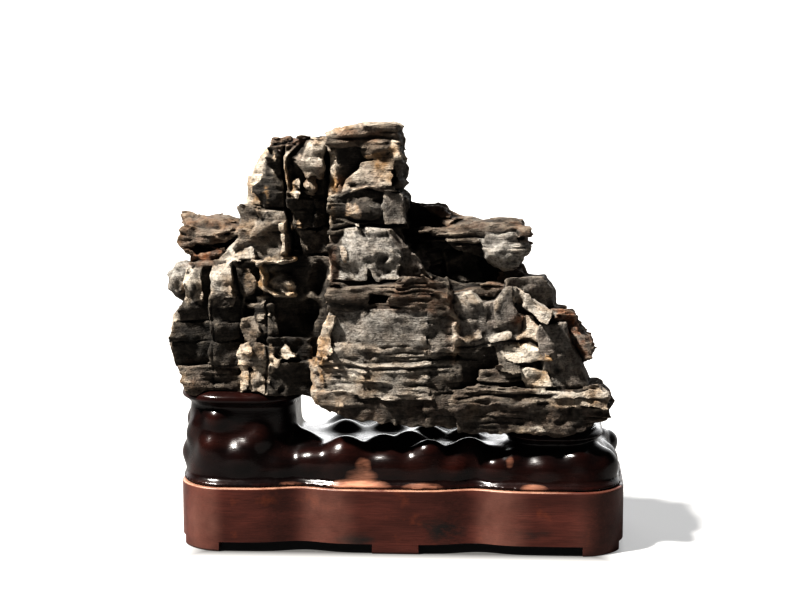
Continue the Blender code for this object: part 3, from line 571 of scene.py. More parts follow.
# Colours of the wood besides those in the sidebar
REDDISH_STREAK = (0.020, 0.0065, 0.0050)
BARE_WOOD_AND_HIGHLIGHT = (0.38, 0.190, 0.128)
ORANGE_MOTTLE = (0.20, 0.055, 0.022)
BOARD_HIGHLIGHT = (0.168, 0.084, 0.066)

# The studio, in metres. Under the stand and just in front of it the floor is painted darker, a painted
# shadow.
FLOOR_HALF = 40.0
FLOOR_DROP = 0.0002
FLOOR_COLOUR = (0.29, 0.29, 0.29)
FLOOR_SHADOW_COLOUR = (0.05, 0.05, 0.05)
FLOOR_COLOUR_MIRRORED = (0.17, 0.17, 0.17)
FLOOR_GLOW_LEAST = 0.006
FLOOR_SHADOW_FADE = 0.034
BACKDROP_SEEN = 1.3
LIGHT_TRAVEL = (0.49, 0.26, -0.83)
LIGHT_COLOUR = (1.0, 0.965, 0.915)
CAMERA_DISTANCE = 2.2
CAMERA_TARGET = (-0.004, -0.060, 0.255)
SENSOR_WIDTH = 36.0

# Seeds of the stone's random shapes. Each bend takes the next two numbers as well, for y and z.
WIDE_BEND = 11
MIDDLE_BEND = 21
FINE_BEND = 31
JOINT_WIDTHS = 41
LEVEL_WAVES = 51
BED_STRENGTH = 52
BED_BREAKS = 53
PARTINGS = 54
LUMPS = 55
GRAINS = 56
PITS = 57
FLAKES = 58
RIPPLES = 59
BED_SEED = 5
BED_COUNT = 110


# Settings shown in the sidebar


def amount(name, description, default, **limits):
    return FloatProperty(name=name, description=description, default=default, **limits)


def tint(name, description, default):
    return FloatVectorProperty(
        name=name, description=description, subtype="COLOR", default=default, min=0.0, max=1.0
    )


class StoneSettings(bpy.types.PropertyGroup):
    grid: amount(
        "Grid", "Spacing of the points the stone is built on, in mm", 1.25, min=1.2, max=6.0
    )
    triangles: IntProperty(
        name="Triangles", description="Most triangles the stone may have", default=196000, min=5000
    )
    crack: amount("Crack", "Width of the open joints between blocks, in mm", 1.0, min=0.0, max=4.0)
    bed_reach: amount(
        "Bed reach", "How far one bed stands out past the next, in mm", 2.4, min=0.0, max=6.0
    )
    rough_reach: amount(
        "Roughness", "Height of the rough lumps on the stone, in mm", 1.0, min=0.0, max=5.0
    )
    dark: tint("Dark", "Colour of the dark beds", (0.034, 0.030, 0.0255))
    middle: tint("Middle", "Colour of the common beds", (0.135, 0.118, 0.099))
    grey: tint("Grey", "Colour of the smooth grey bosses", (0.42, 0.40, 0.37))
    pale: tint("Pale", "Colour of the pale veins and crusts", (0.60, 0.535, 0.45))
    rust: tint("Rust", "Colour of the rusty patches", (0.21, 0.085, 0.034))


class CarvingSettings(bpy.types.PropertyGroup):
    grid: amount(
        "Grid", "Spacing of the points the carving is built on, in mm", 1.8, min=1.2, max=6.0
    )
    knob_height: amount(
        "Knob height", "How far the knobs stand out, as a share of their heights in the tables", 1.0, min=0.0
    )
    mound_height: amount(
        "Mound height", "Height of the mounds between the sockets, in mm", 16.5, min=0.0
    )
    mound_spread: amount("Mound spread", "How wide a mound is, in mm", 13.5, min=3.0)
    wood: tint("Wood", "Colour of the polished wood", (0.0060, 0.0034, 0.0034))
    worn: tint("Worn wood", "Colour where the polish is worn through", (0.12, 0.020, 0.010))


class PlinthSettings(bpy.types.PropertyGroup):
    edge_round: amount(
        "Edge round", "Rounding of the plinth's top edge, in mm", 1.9, min=0.2, max=6.0
    )
    wood: tint("Wood", "Colour of the red-brown board", (0.054, 0.0165, 0.0122))
    light: tint("Light wood", "Colour of the light streaks and worn edges", (0.34, 0.205, 0.145))
    stain: tint("Stain", "Colour of the dark stains", (0.018, 0.014, 0.013))


class StageSettings(bpy.types.PropertyGroup):
    key_strength: amount(
        "Key light", "Strength of the main light, in watts per square metre", 10.6, min=0.0
    )
    key_spread: amount(
        "Key spread", "How wide the main light looks from the object, in degrees", 4.5, min=0.1
    )
    sky: amount(
        "Backdrop light", "Brightness of the white surroundings behind the object", 1.6, min=0.0
    )
    front_sky: amount(
        "Front light", "Brightness of the surroundings on the camera's side", 0.05, min=0.0
    )
    horizon: amount(
        "Horizon light",
        "Extra brightness low behind the object, which the polished wood mirrors",
        1.7,
        min=0.0,
    )
    floor_glow: amount("Floor glow", "Brightness of the floor of its own", 0.34, min=0.0)
    lens: amount("Lens", "Focal length of the camera, in mm", 99.0, min=10.0)
    azimuth: amount(
        "Azimuth", "How far the camera stands to the right of straight ahead, in degrees", 3.0
    )
    elevation: amount("Elevation", "How high the camera stands, in degrees", 10.0)


# Points on an even grid


class Space:
    """A box of space sampled on an even grid. Lengths are in mm. value holds the distance to
    the surface, below zero inside."""

    def __init__(self, low, high, step):
        self.low = low
        self.step = step
        self.axes = [np.arange(a, b + step, step, dtype=np.float32) for a, b in zip(low, high)]
        self.shape = tuple(len(axis) for axis in self.axes)
        self.value = np.full(self.shape, 40.0, np.float32)
        self.owner = np.zeros(self.shape, np.int16)
        self.bend = None

    def window(self, low, high):
        """The part of the grid inside a box, as slices."""
        parts = []
        for axis, a, b in zip(self.axes, low, high):
            parts.append(slice(int(np.searchsorted(axis, a)), int(np.searchsorted(axis, b))))
        return tuple(parts)

    def places(self, window=(slice(None),) * 3):
        """The x, y and z of a window's points, bent out of line if the space is bent."""
        found = []
        for i, (axis, part) in enumerate(zip(self.axes, window)):
            place = axis[part].reshape([-1 if j == i else 1 for j in range(3)])
            if self.bend is not None:
                place = place + self.bend[i][window]
            found.append(place)
        return found

    def noise(self, spacing, seed):
        """Smooth random values about 0, which vary over these distances along x, y and z."""
        rng = np.random.default_rng(seed)
        weights = [spline_weights(axis, gap) for axis, gap in zip(self.axes, spacing)]
        lattice = rng.standard_normal([w.shape[1] for w in weights]).astype(np.float32)
        made = np.tensordot(weights[0], lattice, axes=(1, 0))
        made = np.tensordot(weights[1], made, axes=(1, 1)).transpose(1, 0, 2)
        made = made @ weights[2].T
        return np.ascontiguousarray(made) * 3.0

    def sample(self, values, points):
        """Values of a grid at points in mm, taken between the grid's own points."""
        place = (points - np.array(self.low, np.float32)) / self.step
        place = np.clip(place, 0, np.array(self.shape) - 1.001)
        base = place.astype(int)
        part = place - base
        total = np.zeros(len(points), np.float32)
        for corner in range(8):
            offset = np.array([(corner >> i) & 1 for i in range(3)])
            weight = np.prod(np.where(offset, part, 1.0 - part), axis=1)
            index = base + offset
            total += weight * values[index[:, 0], index[:, 1], index[:, 2]]
        return total


def spline_weights(axis, gap):
    """How much each of a row of control values, one gap apart, counts at each grid point."""
    place = (axis - axis[0]) / gap
    base = np.floor(place).astype(int)
    t = place - base
    parts = (
        (1 - t) ** 3 / 6,
        (3 * t**3 - 6 * t**2 + 4) / 6,
        (-3 * t**3 + 3 * t**2 + 3 * t + 1) / 6,
        t**3 / 6,
    )
    weights = np.zeros((len(axis), base.max() + 4), np.float32)
    rows = np.arange(len(axis))
    for i, part in enumerate(parts):
        weights[rows, base + i] = part
    return weights


def blur(values, reach):
    """The mean over a cube of points that reaches this many points each way."""
    for axis in range(3):
        before = np.repeat(values.take([0], axis), reach + 1, axis)
        after = np.repeat(values.take([-1], axis), reach, axis)
        padded = np.concatenate([before, values, after], axis)
        total = np.cumsum(padded, axis, dtype=np.float32)
        count = values.shape[axis]
        high = total.take(range(2 * reach + 1, 2 * reach + 1 + count), axis)
        low = total.take(range(0, count), axis)
        values = (high - low) / (2 * reach + 1)
    return values


def smooth_min(a, b, reach):
    """The smaller of two distances, with the corner between them filled over reach."""
    overlap = np.maximum(reach - abs(a - b), 0.0) / reach
    return np.minimum(a, b) - overlap * overlap * reach / 4


def smooth_max(a, b, reach):
    """The larger of two distances, with the corner between them rounded over reach."""
    return -smooth_min(-a, -b, reach)


def skin(space):
    """Points and four-sided faces of the surface where the space's values cross zero."""
    v = space.value
    inside = v < 0
    count = np.zeros([n - 1 for n in v.shape], np.int8)
    for corner in range(8):
        part = tuple(slice((corner >> i) & 1, v.shape[i] - 1 + ((corner >> i) & 1)) for i in range(3))
        count += inside[part]
    cells = np.argwhere((count > 0) & (count < 8))
    index = np.full(count.shape, -1, np.int32)
    index[tuple(cells.T)] = np.arange(len(cells))
    total = np.zeros((len(cells), 3))
    hits = np.zeros(len(cells))
    for axis in range(3):
        others = [i for i in range(3) if i != axis]
        for side in range(4):
            start = np.zeros(3, int)
            start[others[0]] = side & 1
            start[others[1]] = side >> 1
            end = start.copy()
            end[axis] = 1
            a = v[tuple((cells + start).T)]
            b = v[tuple((cells + end).T)]
            crossed = (a < 0) != (b < 0)
            share = np.where(crossed, a / np.where(crossed, a - b, 1.0), 0.0)
            total[crossed] += start
            total[crossed, axis] += share[crossed]
            hits += crossed
    points = (cells + total / hits[:, None]) * space.step + np.array(space.low)
    faces = []
    for axis in range(3):
        u, w = [i for i in range(3) if i != axis]
        first = [slice(None)] * 3
        second = [slice(None)] * 3
        first[axis] = slice(0, -1)
        second[axis] = slice(1, None)
        a = inside[tuple(first)]
        b = inside[tuple(second)]
        edges = np.argwhere(a != b)
        off_start = (edges[:, u] > 0) & (edges[:, w] > 0)
        off_end = (edges[:, u] < v.shape[u] - 1) & (edges[:, w] < v.shape[w] - 1)
        edges = edges[off_start & off_end]
        leaving = a[tuple(edges.T)]
        ring = []
        for du, dw in ((-1, -1), (0, -1), (0, 0), (-1, 0)):
            cell = edges.copy()
            cell[:, u] += du
            cell[:, w] += dw
            ring.append(index[tuple(cell.T)])
        ring = np.stack(ring, 1)
        flip = leaving if axis != 1 else ~leaving
        ring[~flip] = ring[~flip][:, ::-1]
        faces.append(ring)
    return points.astype(np.float32), np.concatenate(faces)


# Shapes as distances


def block_planes(outline, front, back, turn, lean):
    """A block's flat faces as rows of (normal, offset), where normal . place - offset is the
    distance outside the face. Tops fall away a little towards the back."""
    middle_x = sum(x for x, _ in outline) / len(outline)
    middle_z = sum(z for _, z in outline) / len(outline)
    turned = math.tan(math.radians(turn))
    leaned = math.tan(math.radians(lean))
    rows = []

    def add(normal, point):
        normal = np.array(normal, float) / np.linalg.norm(normal)
        rows.append((*normal, float(normal @ np.array(point, float))))

    add((turned, -1.0, leaned), (middle_x, front, middle_z))
    add((0.0, 1.0, 0.0), (0.0, back, 0.0))
    for (ax, az), (bx, bz) in zip(outline, outline[1:] + outline[:1]):
        fall = 0.15 * (back - front) * min(1.0, max(0.0, ((az + bz) / 2 - 125.0) / 55.0))
        near = np.array((ax, front, az), float)
        along = np.array((bx - ax, 0.0, bz - az), float)
        away = np.array((0.0, back - front, -fall), float)
        normal = np.cross(along, away)
        centre = np.array((middle_x - near[0], 0.0, middle_z - near[2]))
        if normal @ centre > 0:
            normal = -normal
        add(normal, near)
    return rows


def block_distance(places, rows, rounding):
    """Distance to a block, from the flat faces that block_planes gives."""
    x, y, z = places
    made = None
    for nx, ny, nz, offset in rows:
        face = nx * x + ny * y + nz * z - offset
        made = face if made is None else smooth_max(made, face, rounding)
    return made


def ellipsoid_distance(places, middle, half, tilt):
    """About the distance to an ellipsoid, tilted in the front view by tilt degrees."""
    x, y, z = (place - at for place, at in zip(places, middle))
    c = math.cos(math.radians(tilt))
    s = math.sin(math.radians(tilt))
    across = (c * x + s * z) / half[0]
    up = (c * z - s * x) / half[2]
    k = np.sqrt(across**2 + (y / half[1]) ** 2 + up**2)
    return (k - 1.0) * min(half)


def bar_distance(places, a, b, thick_a, thick_b):
    """Distance to a rounded bar that goes from one thickness to another."""
    along = [q - p for p, q in zip(a, b)]
    away = [place - p for place, p in zip(places, a)]
    t = sum(u * v for u, v in zip(away, along)) / sum(u * u for u in along)
    t = np.clip(t, 0.0, 1.0)
    gone = sum((u - t * v) ** 2 for u, v in zip(away, along))
    return np.sqrt(gone) - (thick_a + (thick_b - thick_a) * t)


def rounded_box_distance(x, y, x_range, y_range, corner):
    """Distance in plan to a rounded rectangle."""
    across = abs(x - (x_range[0] + x_range[1]) / 2) - (x_range[1] - x_range[0]) / 2 + corner
    along = abs(y - (y_range[0] + y_range[1]) / 2) - (y_range[1] - y_range[0]) / 2 + corner
    outside = np.hypot(np.maximum(across, 0.0), np.maximum(along, 0.0))
    return outside + np.minimum(np.maximum(across, along), 0.0) - corner


def foot_distance(places, foot, low, high, grow=0.0):
    """Distance to an upright foot of the stone between two heights."""
    x, y, z = places
    plan = rounded_box_distance(x, y, foot["x"], foot["y"], foot["corner"]) - grow
    return np.maximum(plan, np.maximum(low - z, z - high))


def segment_distance(x, z, a, b):
    """Distance in the front view from points to the line from a to b."""
    dx = b[0] - a[0]
    dz = b[1] - a[1]
    t = np.clip(((x - a[0]) * dx + (z - a[1]) * dz) / (dx * dx + dz * dz), 0.0, 1.0)
    return np.hypot(x - a[0] - t * dx, z - a[1] - t * dz)


def socket_distance(places, socket):
    """Distance to a socket's outside: a wall drawn in under a sharp lip, and its top."""
    x, y, z = places
    half_x, half_y = socket["half"]
    rim = socket["rim"]
    lip = socket["lip"]
    drops = (2.6, 1.7, 1.2, 0.9, 0.4)
    heights = (PLINTH_TOP, *(rim - drop * lip for drop in drops), rim, rim + 8.0)
    insets = (6.0, 8.5, 9.5, 5.0, 0.0, 2.0, 8.0, 26.0)
    inset = np.interp(z, heights, insets).astype(np.float32)
    x_range = (socket["middle"] - half_x, socket["middle"] + half_x)
    plan = rounded_box_distance(x, y, x_range, (-half_y, half_y), socket["corner"]) + inset
    return smooth_max(plan, z - rim, 1.5)


# The stone


def bend_stone(space):
    """Bends the space a little, so that no block stays straight, and more towards the back."""
    behind = np.clip((space.axes[1] + 42.0) / 70.0, 0.0, 1.0).reshape(1, -1, 1)
    bend = []
    for i in range(3):
        wide = space.noise((46, 46, 46), WIDE_BEND + i)
        middle = space.noise((17, 17, 15), MIDDLE_BEND + i)
        fine = space.noise((7, 7, 6), FINE_BEND + i)
        bend.append(wide * (0.9 + 1.2 * behind) + middle * 1.0 + fine * 0.4)
    space.bend = bend


def raise_blocks(space, settings):
    """Fills the space with the blocks, bars and bosses, with open joints between the blocks."""
    for i, (outline, front, back, turn, lean, _) in enumerate(BLOCKS):
        rows = block_planes(outline, front, back, turn, lean)
        xs = [x for x, _ in outline]
        zs = [z for _, z in outline]
        low = (min(xs) - 14, front - 34, min(zs) - 34)
        high = (max(xs) + 14, back + 14, max(zs) + 14)
        window = space.window(low, high)
        distance = block_distance(space.places(window), rows, 0.7)
        space.owner[window][distance < space.value[window]] = i
        space.value[window] = np.minimum(space.value[window], distance)
    overlap = 0.7
    near_skin = blur((space.value < overlap).astype(np.float32), 4)
    near_skin = np.clip((0.93 - near_skin) / 0.2, 0.0, 1.0)
    widths = np.clip(settings.crack * (0.5 * space.noise((26, 26, 14), JOINT_WIDTHS) - 0.55), -overlap, 2.0)
    space.value += (widths + overlap) * near_skin - overlap
    for i, (a, b, thick_a, thick_b, _) in enumerate(BARS):
        reach = max(thick_a, thick_b) + 8
        low = [min(p, q) - reach for p, q in zip(a, b)]
        high = [max(p, q) + reach for p, q in zip(a, b)]
        window = space.window(low, high)
        distance = bar_distance(space.places(window), a, b, thick_a, thick_b)
        space.owner[window][distance < space.value[window]] = len(BLOCKS) + i
        space.value[window] = smooth_min(space.value[window], distance, 2.0)
    for middle, half, tilt in BOSSES:
        reach = max(half) + 10
        window = space.window([m - reach for m in middle], [m + reach for m in middle])
        distance = ellipsoid_distance(space.places(window), middle, half, tilt)
        space.value[window] = smooth_min(space.value[window], distance, 2.0)


def cut_hollows(space):
    """Takes the worn hollows out of the stone."""
    for middle, half, tilt in HOLLOWS:
        reach = max(half) + 8
        window = space.window([m - reach for m in middle], [m + reach for m in middle])
        distance = ellipsoid_distance(space.places(window), middle, half, tilt)
        space.value[window] = smooth_max(space.value[window], -distance, 2.0)


def cut_lines(space):
    """Cuts the front's cracks and raises its ribs."""
    for a, b, width, depth in CRACKS:
        low = (min(a[0], b[0]) - 8, -100, min(a[1], b[1]) - 8)
        high = (max(a[0], b[0]) + 8, 0, max(a[1], b[1]) + 8)
        window = space.window(low, high)
        x, y, z = space.places(window)
        away = segment_distance(x, z, a, b) / (width + 0.4)
        groove = 0.55 * depth * np.exp(-(away**2)) * np.clip((4.0 - y) / 16.0, 0.0, 1.0)
        space.value[window] += groove
    for points, width, height in RIBS:
        for a, b in zip(points, points[1:]):
            low = (min(a[0], b[0]) - 3 * width, -100, min(a[1], b[1]) - 3 * width)
            high = (max(a[0], b[0]) + 3 * width, -4, max(a[1], b[1]) + 3 * width)
            window = space.window(low, high)
            x, y, z = space.places(window)
            away = segment_distance(x, z, a, b) / width
            space.value[window] -= height * 0.6 * np.exp(-(away**2))


def bed_levels():
    """The heights at which one bed ends and the next begins, each bed's reach from -1 to 1
    and its tone from 0 to 1."""
    rng = np.random.default_rng(BED_SEED)
    is_thin = rng.random(BED_COUNT) < 0.6
    thick = np.where(is_thin, rng.uniform(2.6, 4.8, BED_COUNT), rng.uniform(5.0, 11.0, BED_COUNT))
    reaches = rng.uniform(-1.0, 1.0, BED_COUNT + 1)
    return np.cumsum(thick) + 80.0, reaches, rng.random(BED_COUNT + 1)


def bed_level(x, y, z):
    """The height that counts for the beds, which dip a little to the right and the front."""
    return z + 0.035 * x - 0.06 * y


def weather(space, settings):
    """Wears the surface: beds that stand out and draw back, thin partings, flakes broken off,
    grains and pits."""
    x, y, z = space.places()
    level = bed_level(x, y, z) + space.noise((70, 70, 50), LEVEL_WAVES) * 1.2
    bounds, reaches, _ = bed_levels()
    near = abs(space.value) < 9.0
    level = np.broadcast_to(level, space.shape)[near]
    bed = np.searchsorted(bounds, level)
    above = bounds[np.clip(bed, 0, len(bounds) - 1)]
    below = bounds[np.clip(bed - 1, 0, len(bounds) - 1)]
    to_edge = np.minimum(abs(level - above), abs(level - below))
    bedded, flaked, grained = np.array([TONES[row[-1]][4:] for row in BLOCKS + BARS], np.float32).T
    owner = space.owner[near]
    layered = np.clip(0.55 + 0.45 * space.noise((40, 40, 26), BED_STRENGTH), 0.08, 1.6)[near] * bedded[owner]
    broken = np.clip(0.6 + 0.6 * space.noise((12, 12, 5), BED_BREAKS), 0.0, 1.8)[near]
    reach = reaches[bed] * layered * broken * settings.bed_reach
    open_share = np.clip(space.noise((22, 22, 6), PARTINGS)[near], 0.0, 1.5)
    parting = 1.6 * np.exp(-((to_edge / 0.85) ** 2)) * layered * open_share
    flake = space.noise((16, 16, 9), FLAKES)[near] * 1.6
    flake = (np.floor(flake) + np.clip((flake - np.floor(flake)) * 6.0, 0.0, 1.0)) * 1.1 * flaked[owner]
    lumps = space.noise((9, 9, 7), LUMPS)[near] * (0.06 + 0.5 * flaked[owner])
    grains = space.noise((4.2, 4.2, 3.6), GRAINS)[near] * 0.40 * grained[owner]
    ripples = space.noise((12, 12, 1.9), RIPPLES)[near] * 1.3 * np.clip(bedded[owner] - 0.8, 0.0, 0.7)
    pits = np.clip(space.noise((6.5, 6.5, 6), PITS)[near] - 1.7, 0.0, 2.0) * 2.2
    change = pits + parting - reach - flake - (lumps + grains + ripples) * settings.rough_reach
    space.value[near] += change.astype(np.float32)


def seat_stone(space):
    """Cuts the stone clear of the sockets and gives it the flat feet that stand in them."""
    space.bend = None
    for foot, socket in ((LEFT_FOOT, LEFT_SOCKET), (RIGHT_FOOT, RIGHT_SOCKET)):
        half_x, half_y = socket["half"]
        low = (socket["middle"] - half_x - 12, -half_y - 12, socket["seat"] - 60)
        high = (socket["middle"] + half_x + 12, half_y + 12, foot["top"] + 4)
        window = space.window(low, high)
        places = space.places(window)
        socket_clear = socket_distance(places, socket) - RIM_CLEARANCE
        value = np.maximum(space.value[window], -socket_clear)
        foot_part = foot_distance(places, foot, socket["seat"] + SEAT_GAP, foot["top"])
        space.value[window] = np.minimum(value, foot_part)


def keep_largest(points, faces):
    """Drops every loose crumb and keeps the one large piece."""
    parent = np.arange(len(points))
    ends = np.concatenate([faces[:, [0, 1]], faces[:, [1, 2]], faces[:, [2, 3]]])
    while True:
        low = np.minimum(parent[ends[:, 0]], parent[ends[:, 1]])
        before = parent.copy()
        np.minimum.at(parent, ends[:, 0], low)
        np.minimum.at(parent, ends[:, 1], low)
        parent = parent[parent]
        if (parent == before).all():
            break
    labels, counts = np.unique(parent, return_counts=True)
    keep = parent == labels[counts.argmax()]
    renumber = np.cumsum(keep) - 1
    faces = faces[keep[faces[:, 0]]]
    return points[keep], renumber[faces]


def zone(points, patches):
    """How strongly each point lies in a list of patches, from 0 to 1."""
    made = np.zeros(len(points), np.float32)
    for middle, half, strength in patches:
        away = (((points - np.array(middle, np.float32)) / np.array(half, np.float32)) ** 2).sum(1)
        made = np.maximum(made, strength * np.clip(1.25 - away, 0.0, 1.0))
    return made


def paint_attribute(mesh, name, values):
    """Stores one value for each of the mesh's points, for its material to read."""
    layer = mesh.attributes.new(name, "FLOAT", "POINT")
    layer.data.foreach_set("value", np.ascontiguousarray(values, np.float32))


def mesh_points(mesh):
    """The mesh's points in mm, as the tables measure them."""
    points = np.empty(len(mesh.vertices) * 3, np.float32)
    mesh.vertices.foreach_get("co", points)
    return (points.reshape(-1, 3) - np.array(ORIGIN, np.float32)) / MM


def new_mesh(name, points, faces):
    """A mesh in metres on the frame, from points in mm from the stand's middle."""
    mesh = bpy.data.meshes.new(name)
    placed = points * MM + np.array(ORIGIN, np.float32)
    mesh.vertices.add(len(placed))
    mesh.vertices.foreach_set("co", placed.astype(np.float32).ravel())
    mesh.loops.add(faces.size)
    mesh.loops.foreach_set("vertex_index", faces.astype(np.int32).ravel())
    mesh.polygons.add(len(faces))
    mesh.polygons.foreach_set("loop_start", np.arange(0, faces.size, faces.shape[1], dtype=np.int32))
    mesh.update(calc_edges=True)
    return mesh


def new_piece(name, mesh, node):
    """An object for a mesh that stands for a node of the frame and rides with the part."""
    piece = bpy.data.objects.new(name, mesh)
    bpy.context.scene.collection.objects.link(piece)
    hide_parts(node)
    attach(piece, "root")
    return piece


def squeeze_into(points, box):
    """Draws in the band of points next to a side of a box where they stand out past it."""
    band = 16.0
    room = 0.4
    for i in range(3):
        low = (box[0][i] - ORIGIN[i]) / MM + room
        high = (box[1][i] - ORIGIN[i]) / MM - room
        column = points[:, i]
        if column.min() < low:
            edge = low + band
            share = band / (edge - column.min())
            column[column < edge] = edge - (edge - column[column < edge]) * share
        if column.max() > high:
            edge = high - band
            share = band / (column.max() - edge)
            column[column > edge] = edge + (column[column > edge] - edge) * share
    return points


def with_modifiers(piece):
    """A new mesh with an object's modifiers applied."""
    bpy.context.view_layer.update()
    graph = bpy.context.evaluated_depsgraph_get()
    return bpy.data.meshes.new_from_object(piece.evaluated_get(graph))


def close_ends(mesh):
    """Fills a mesh's open ends and turns all its faces outwards."""
    bm = bmesh.new()
    bm.from_mesh(mesh)
    bmesh.ops.holes_fill(bm, edges=[edge for edge in bm.edges if edge.is_boundary], sides=0)
    bmesh.ops.recalc_face_normals(bm, faces=bm.faces)
    bm.to_mesh(mesh)
    bm.free()


def thin_out(mesh, triangles):
    """A copy of the mesh with at most this many triangles, thinned where it is flattest."""
    holder = bpy.data.objects.new("thinning", mesh)
    bpy.context.scene.collection.objects.link(holder)
    mesh.calc_loop_triangles()
    step = holder.modifiers.new("thin", "DECIMATE")
    step.ratio = min(1.0, triangles / len(mesh.loop_triangles))
    made = with_modifiers(holder)
    bpy.data.objects.remove(holder, do_unlink=True)
    # Thinning can fold two triangles onto the same three corners.
    made.validate()
    return made


def build_stone(settings):
    """The layered stone, with the values at each point that its material reads."""
    space = Space((-256, -98, 108), (222, 82, 446), settings.grid)
    bend_stone(space)
    raise_blocks(space, settings)
    cut_hollows(space)
    cut_lines(space)
    weather(space, settings)
    seat_stone(space)
    points, faces = keep_largest(*skin(space))
    points = squeeze_into(points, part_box("rock"))
    mesh = thin_out(new_mesh("stone", points, faces), settings.triangles)
    places = mesh_points(mesh)
    around = blur(np.clip(space.value, -8.0, 8.0), 2) - space.value
    shape = np.clip(space.sample(around, places) / 0.9, -1.5, 1.5)
    open_sky = blur((space.value < 0).astype(np.float32), 6)
    shut_in = np.clip((space.sample(open_sky, places) - 0.5) / 0.3, 0.0, 1.0)
    level = bed_level(*places.T)
    bounds, _, bed_tones = bed_levels()
    # worn lightens the edges, partly wear and partly a painted highlight; hollow and shut_in darken the
    # stone as painted shade
    paint_attribute(mesh, "worn", np.clip(shape, 0.0, 1.0))
    paint_attribute(mesh, "hollow", np.clip(-shape, 0.0, 1.0))
    paint_attribute(mesh, "shut_in", shut_in)
    paint_attribute(mesh, "bed", bed_tones[np.searchsorted(bounds, level)])
    tones = np.array([TONES[row[-1]][:4] for row in BLOCKS + BARS], np.float32)
    spots = ((places - np.array(space.low)) / space.step + 0.5).astype(int)
    spots = np.clip(spots, 0, np.array(space.shape) - 1)
    toned = tones[space.owner[tuple(spots.T)]]
    rust = zone(places, RUST_PATCHES)
    pale = zone(places, PALE_PATCHES)
    grey = zone(places, GREY_PATCHES)
    paint_attribute(mesh, "rust", np.maximum(toned[:, 0], rust))
    paint_attribute(mesh, "pale", np.maximum(toned[:, 1], pale))
    paint_attribute(mesh, "grey", np.maximum(toned[:, 2], grey * (1.0 - toned[:, 3])))
    paint_attribute(mesh, "dark", toned[:, 3] * (1.0 - 0.85 * np.maximum(rust, pale)))
    mesh.shade_smooth()
    mesh.set_sharp_from_angle(angle=math.radians(42))
    piece = new_piece("layered_stone", mesh, "rock")
    mesh.materials.clear()
    mesh.materials.append(stone_material(settings))
    return piece


# Materials


class Finish:
    """A material under construction. Each call adds one node and gives its output back."""

    def __init__(self, name):
        self.material = bpy.data.materials.new(name)
        self.material.use_nodes = True
        self.tree = self.material.node_tree
        self.shader = self.tree.nodes["Principled BSDF"]
        coordinates = self.tree.nodes.new("ShaderNodeTexCoord")
        self.place = coordinates.outputs["Object"]

    def plug(self, socket, value):
        if isinstance(value, bpy.types.NodeSocket):
            self.tree.links.new(value, socket)
        elif hasattr(value, "__len__") and len(value) == 3 and socket.type == "RGBA":
            socket.default_value = (*value, 1.0)
        else:
            socket.default_value = value

    def attribute(self, name):
        node = self.tree.nodes.new("ShaderNodeAttribute")
        node.attribute_name = name
        return node.outputs["Fac"]

    def stretch(self, scale, shift=(0, 0, 0)):
        node = self.tree.nodes.new("ShaderNodeMapping")
        self.plug(node.inputs["Vector"], self.place)
        node.inputs["Scale"].default_value = scale
        node.inputs["Location"].default_value = shift
        return node.outputs["Vector"]

    def noise(self, scale, detail=4.0, rough=0.55, place=None, distortion=0.0):
        node = self.tree.nodes.new("ShaderNodeTexNoise")
        self.plug(node.inputs["Vector"], place or self.place)
        node.inputs["Scale"].default_value = scale
        node.inputs["Detail"].default_value = detail
        node.inputs["Roughness"].default_value = rough
        node.inputs["Distortion"].default_value = distortion
        return node.outputs["Fac"]

    def cells(self, scale):
        node = self.tree.nodes.new("ShaderNodeTexVoronoi")
        self.plug(node.inputs["Vector"], self.place)
        node.inputs["Scale"].default_value = scale
        return node.outputs["Distance"]

    def ramp(self, value, low, high, start=0.0, end=1.0):
        node = self.tree.nodes.new("ShaderNodeMapRange")
        self.plug(node.inputs["Value"], value)
        node.inputs["From Min"].default_value = low
        node.inputs["From Max"].default_value = high
        node.inputs["To Min"].default_value = start
        node.inputs["To Max"].default_value = end
        return node.outputs["Result"]

    def math(self, operation, a, b=0.5, c=0.5):
        node = self.tree.nodes.new("ShaderNodeMath")
        node.operation = operation
        for socket, value in zip(node.inputs, (a, b, c)):
            self.plug(socket, value)
        return node.outputs["Value"]

    def mix(self, share, a, b):
        node = self.tree.nodes.new("ShaderNodeMix")
        node.data_type = "RGBA"
        self.plug(node.inputs[0], share)
        self.plug(node.inputs[6], a)
        self.plug(node.inputs[7], b)
        return node.outputs[2]

    def bump(self, height, distance, strength=1.0, below=None):
        node = self.tree.nodes.new("ShaderNodeBump")
        self.plug(node.inputs["Height"], height)
        node.inputs["Distance"].default_value = distance
        node.inputs["Strength"].default_value = strength
        if below is not None:
            self.plug(node.inputs["Normal"], below)
        return node.outputs["Normal"]

    def give(self, **values):
        for name, value in values.items():
            self.plug(self.shader.inputs[name.replace("_", " ").title()], value)


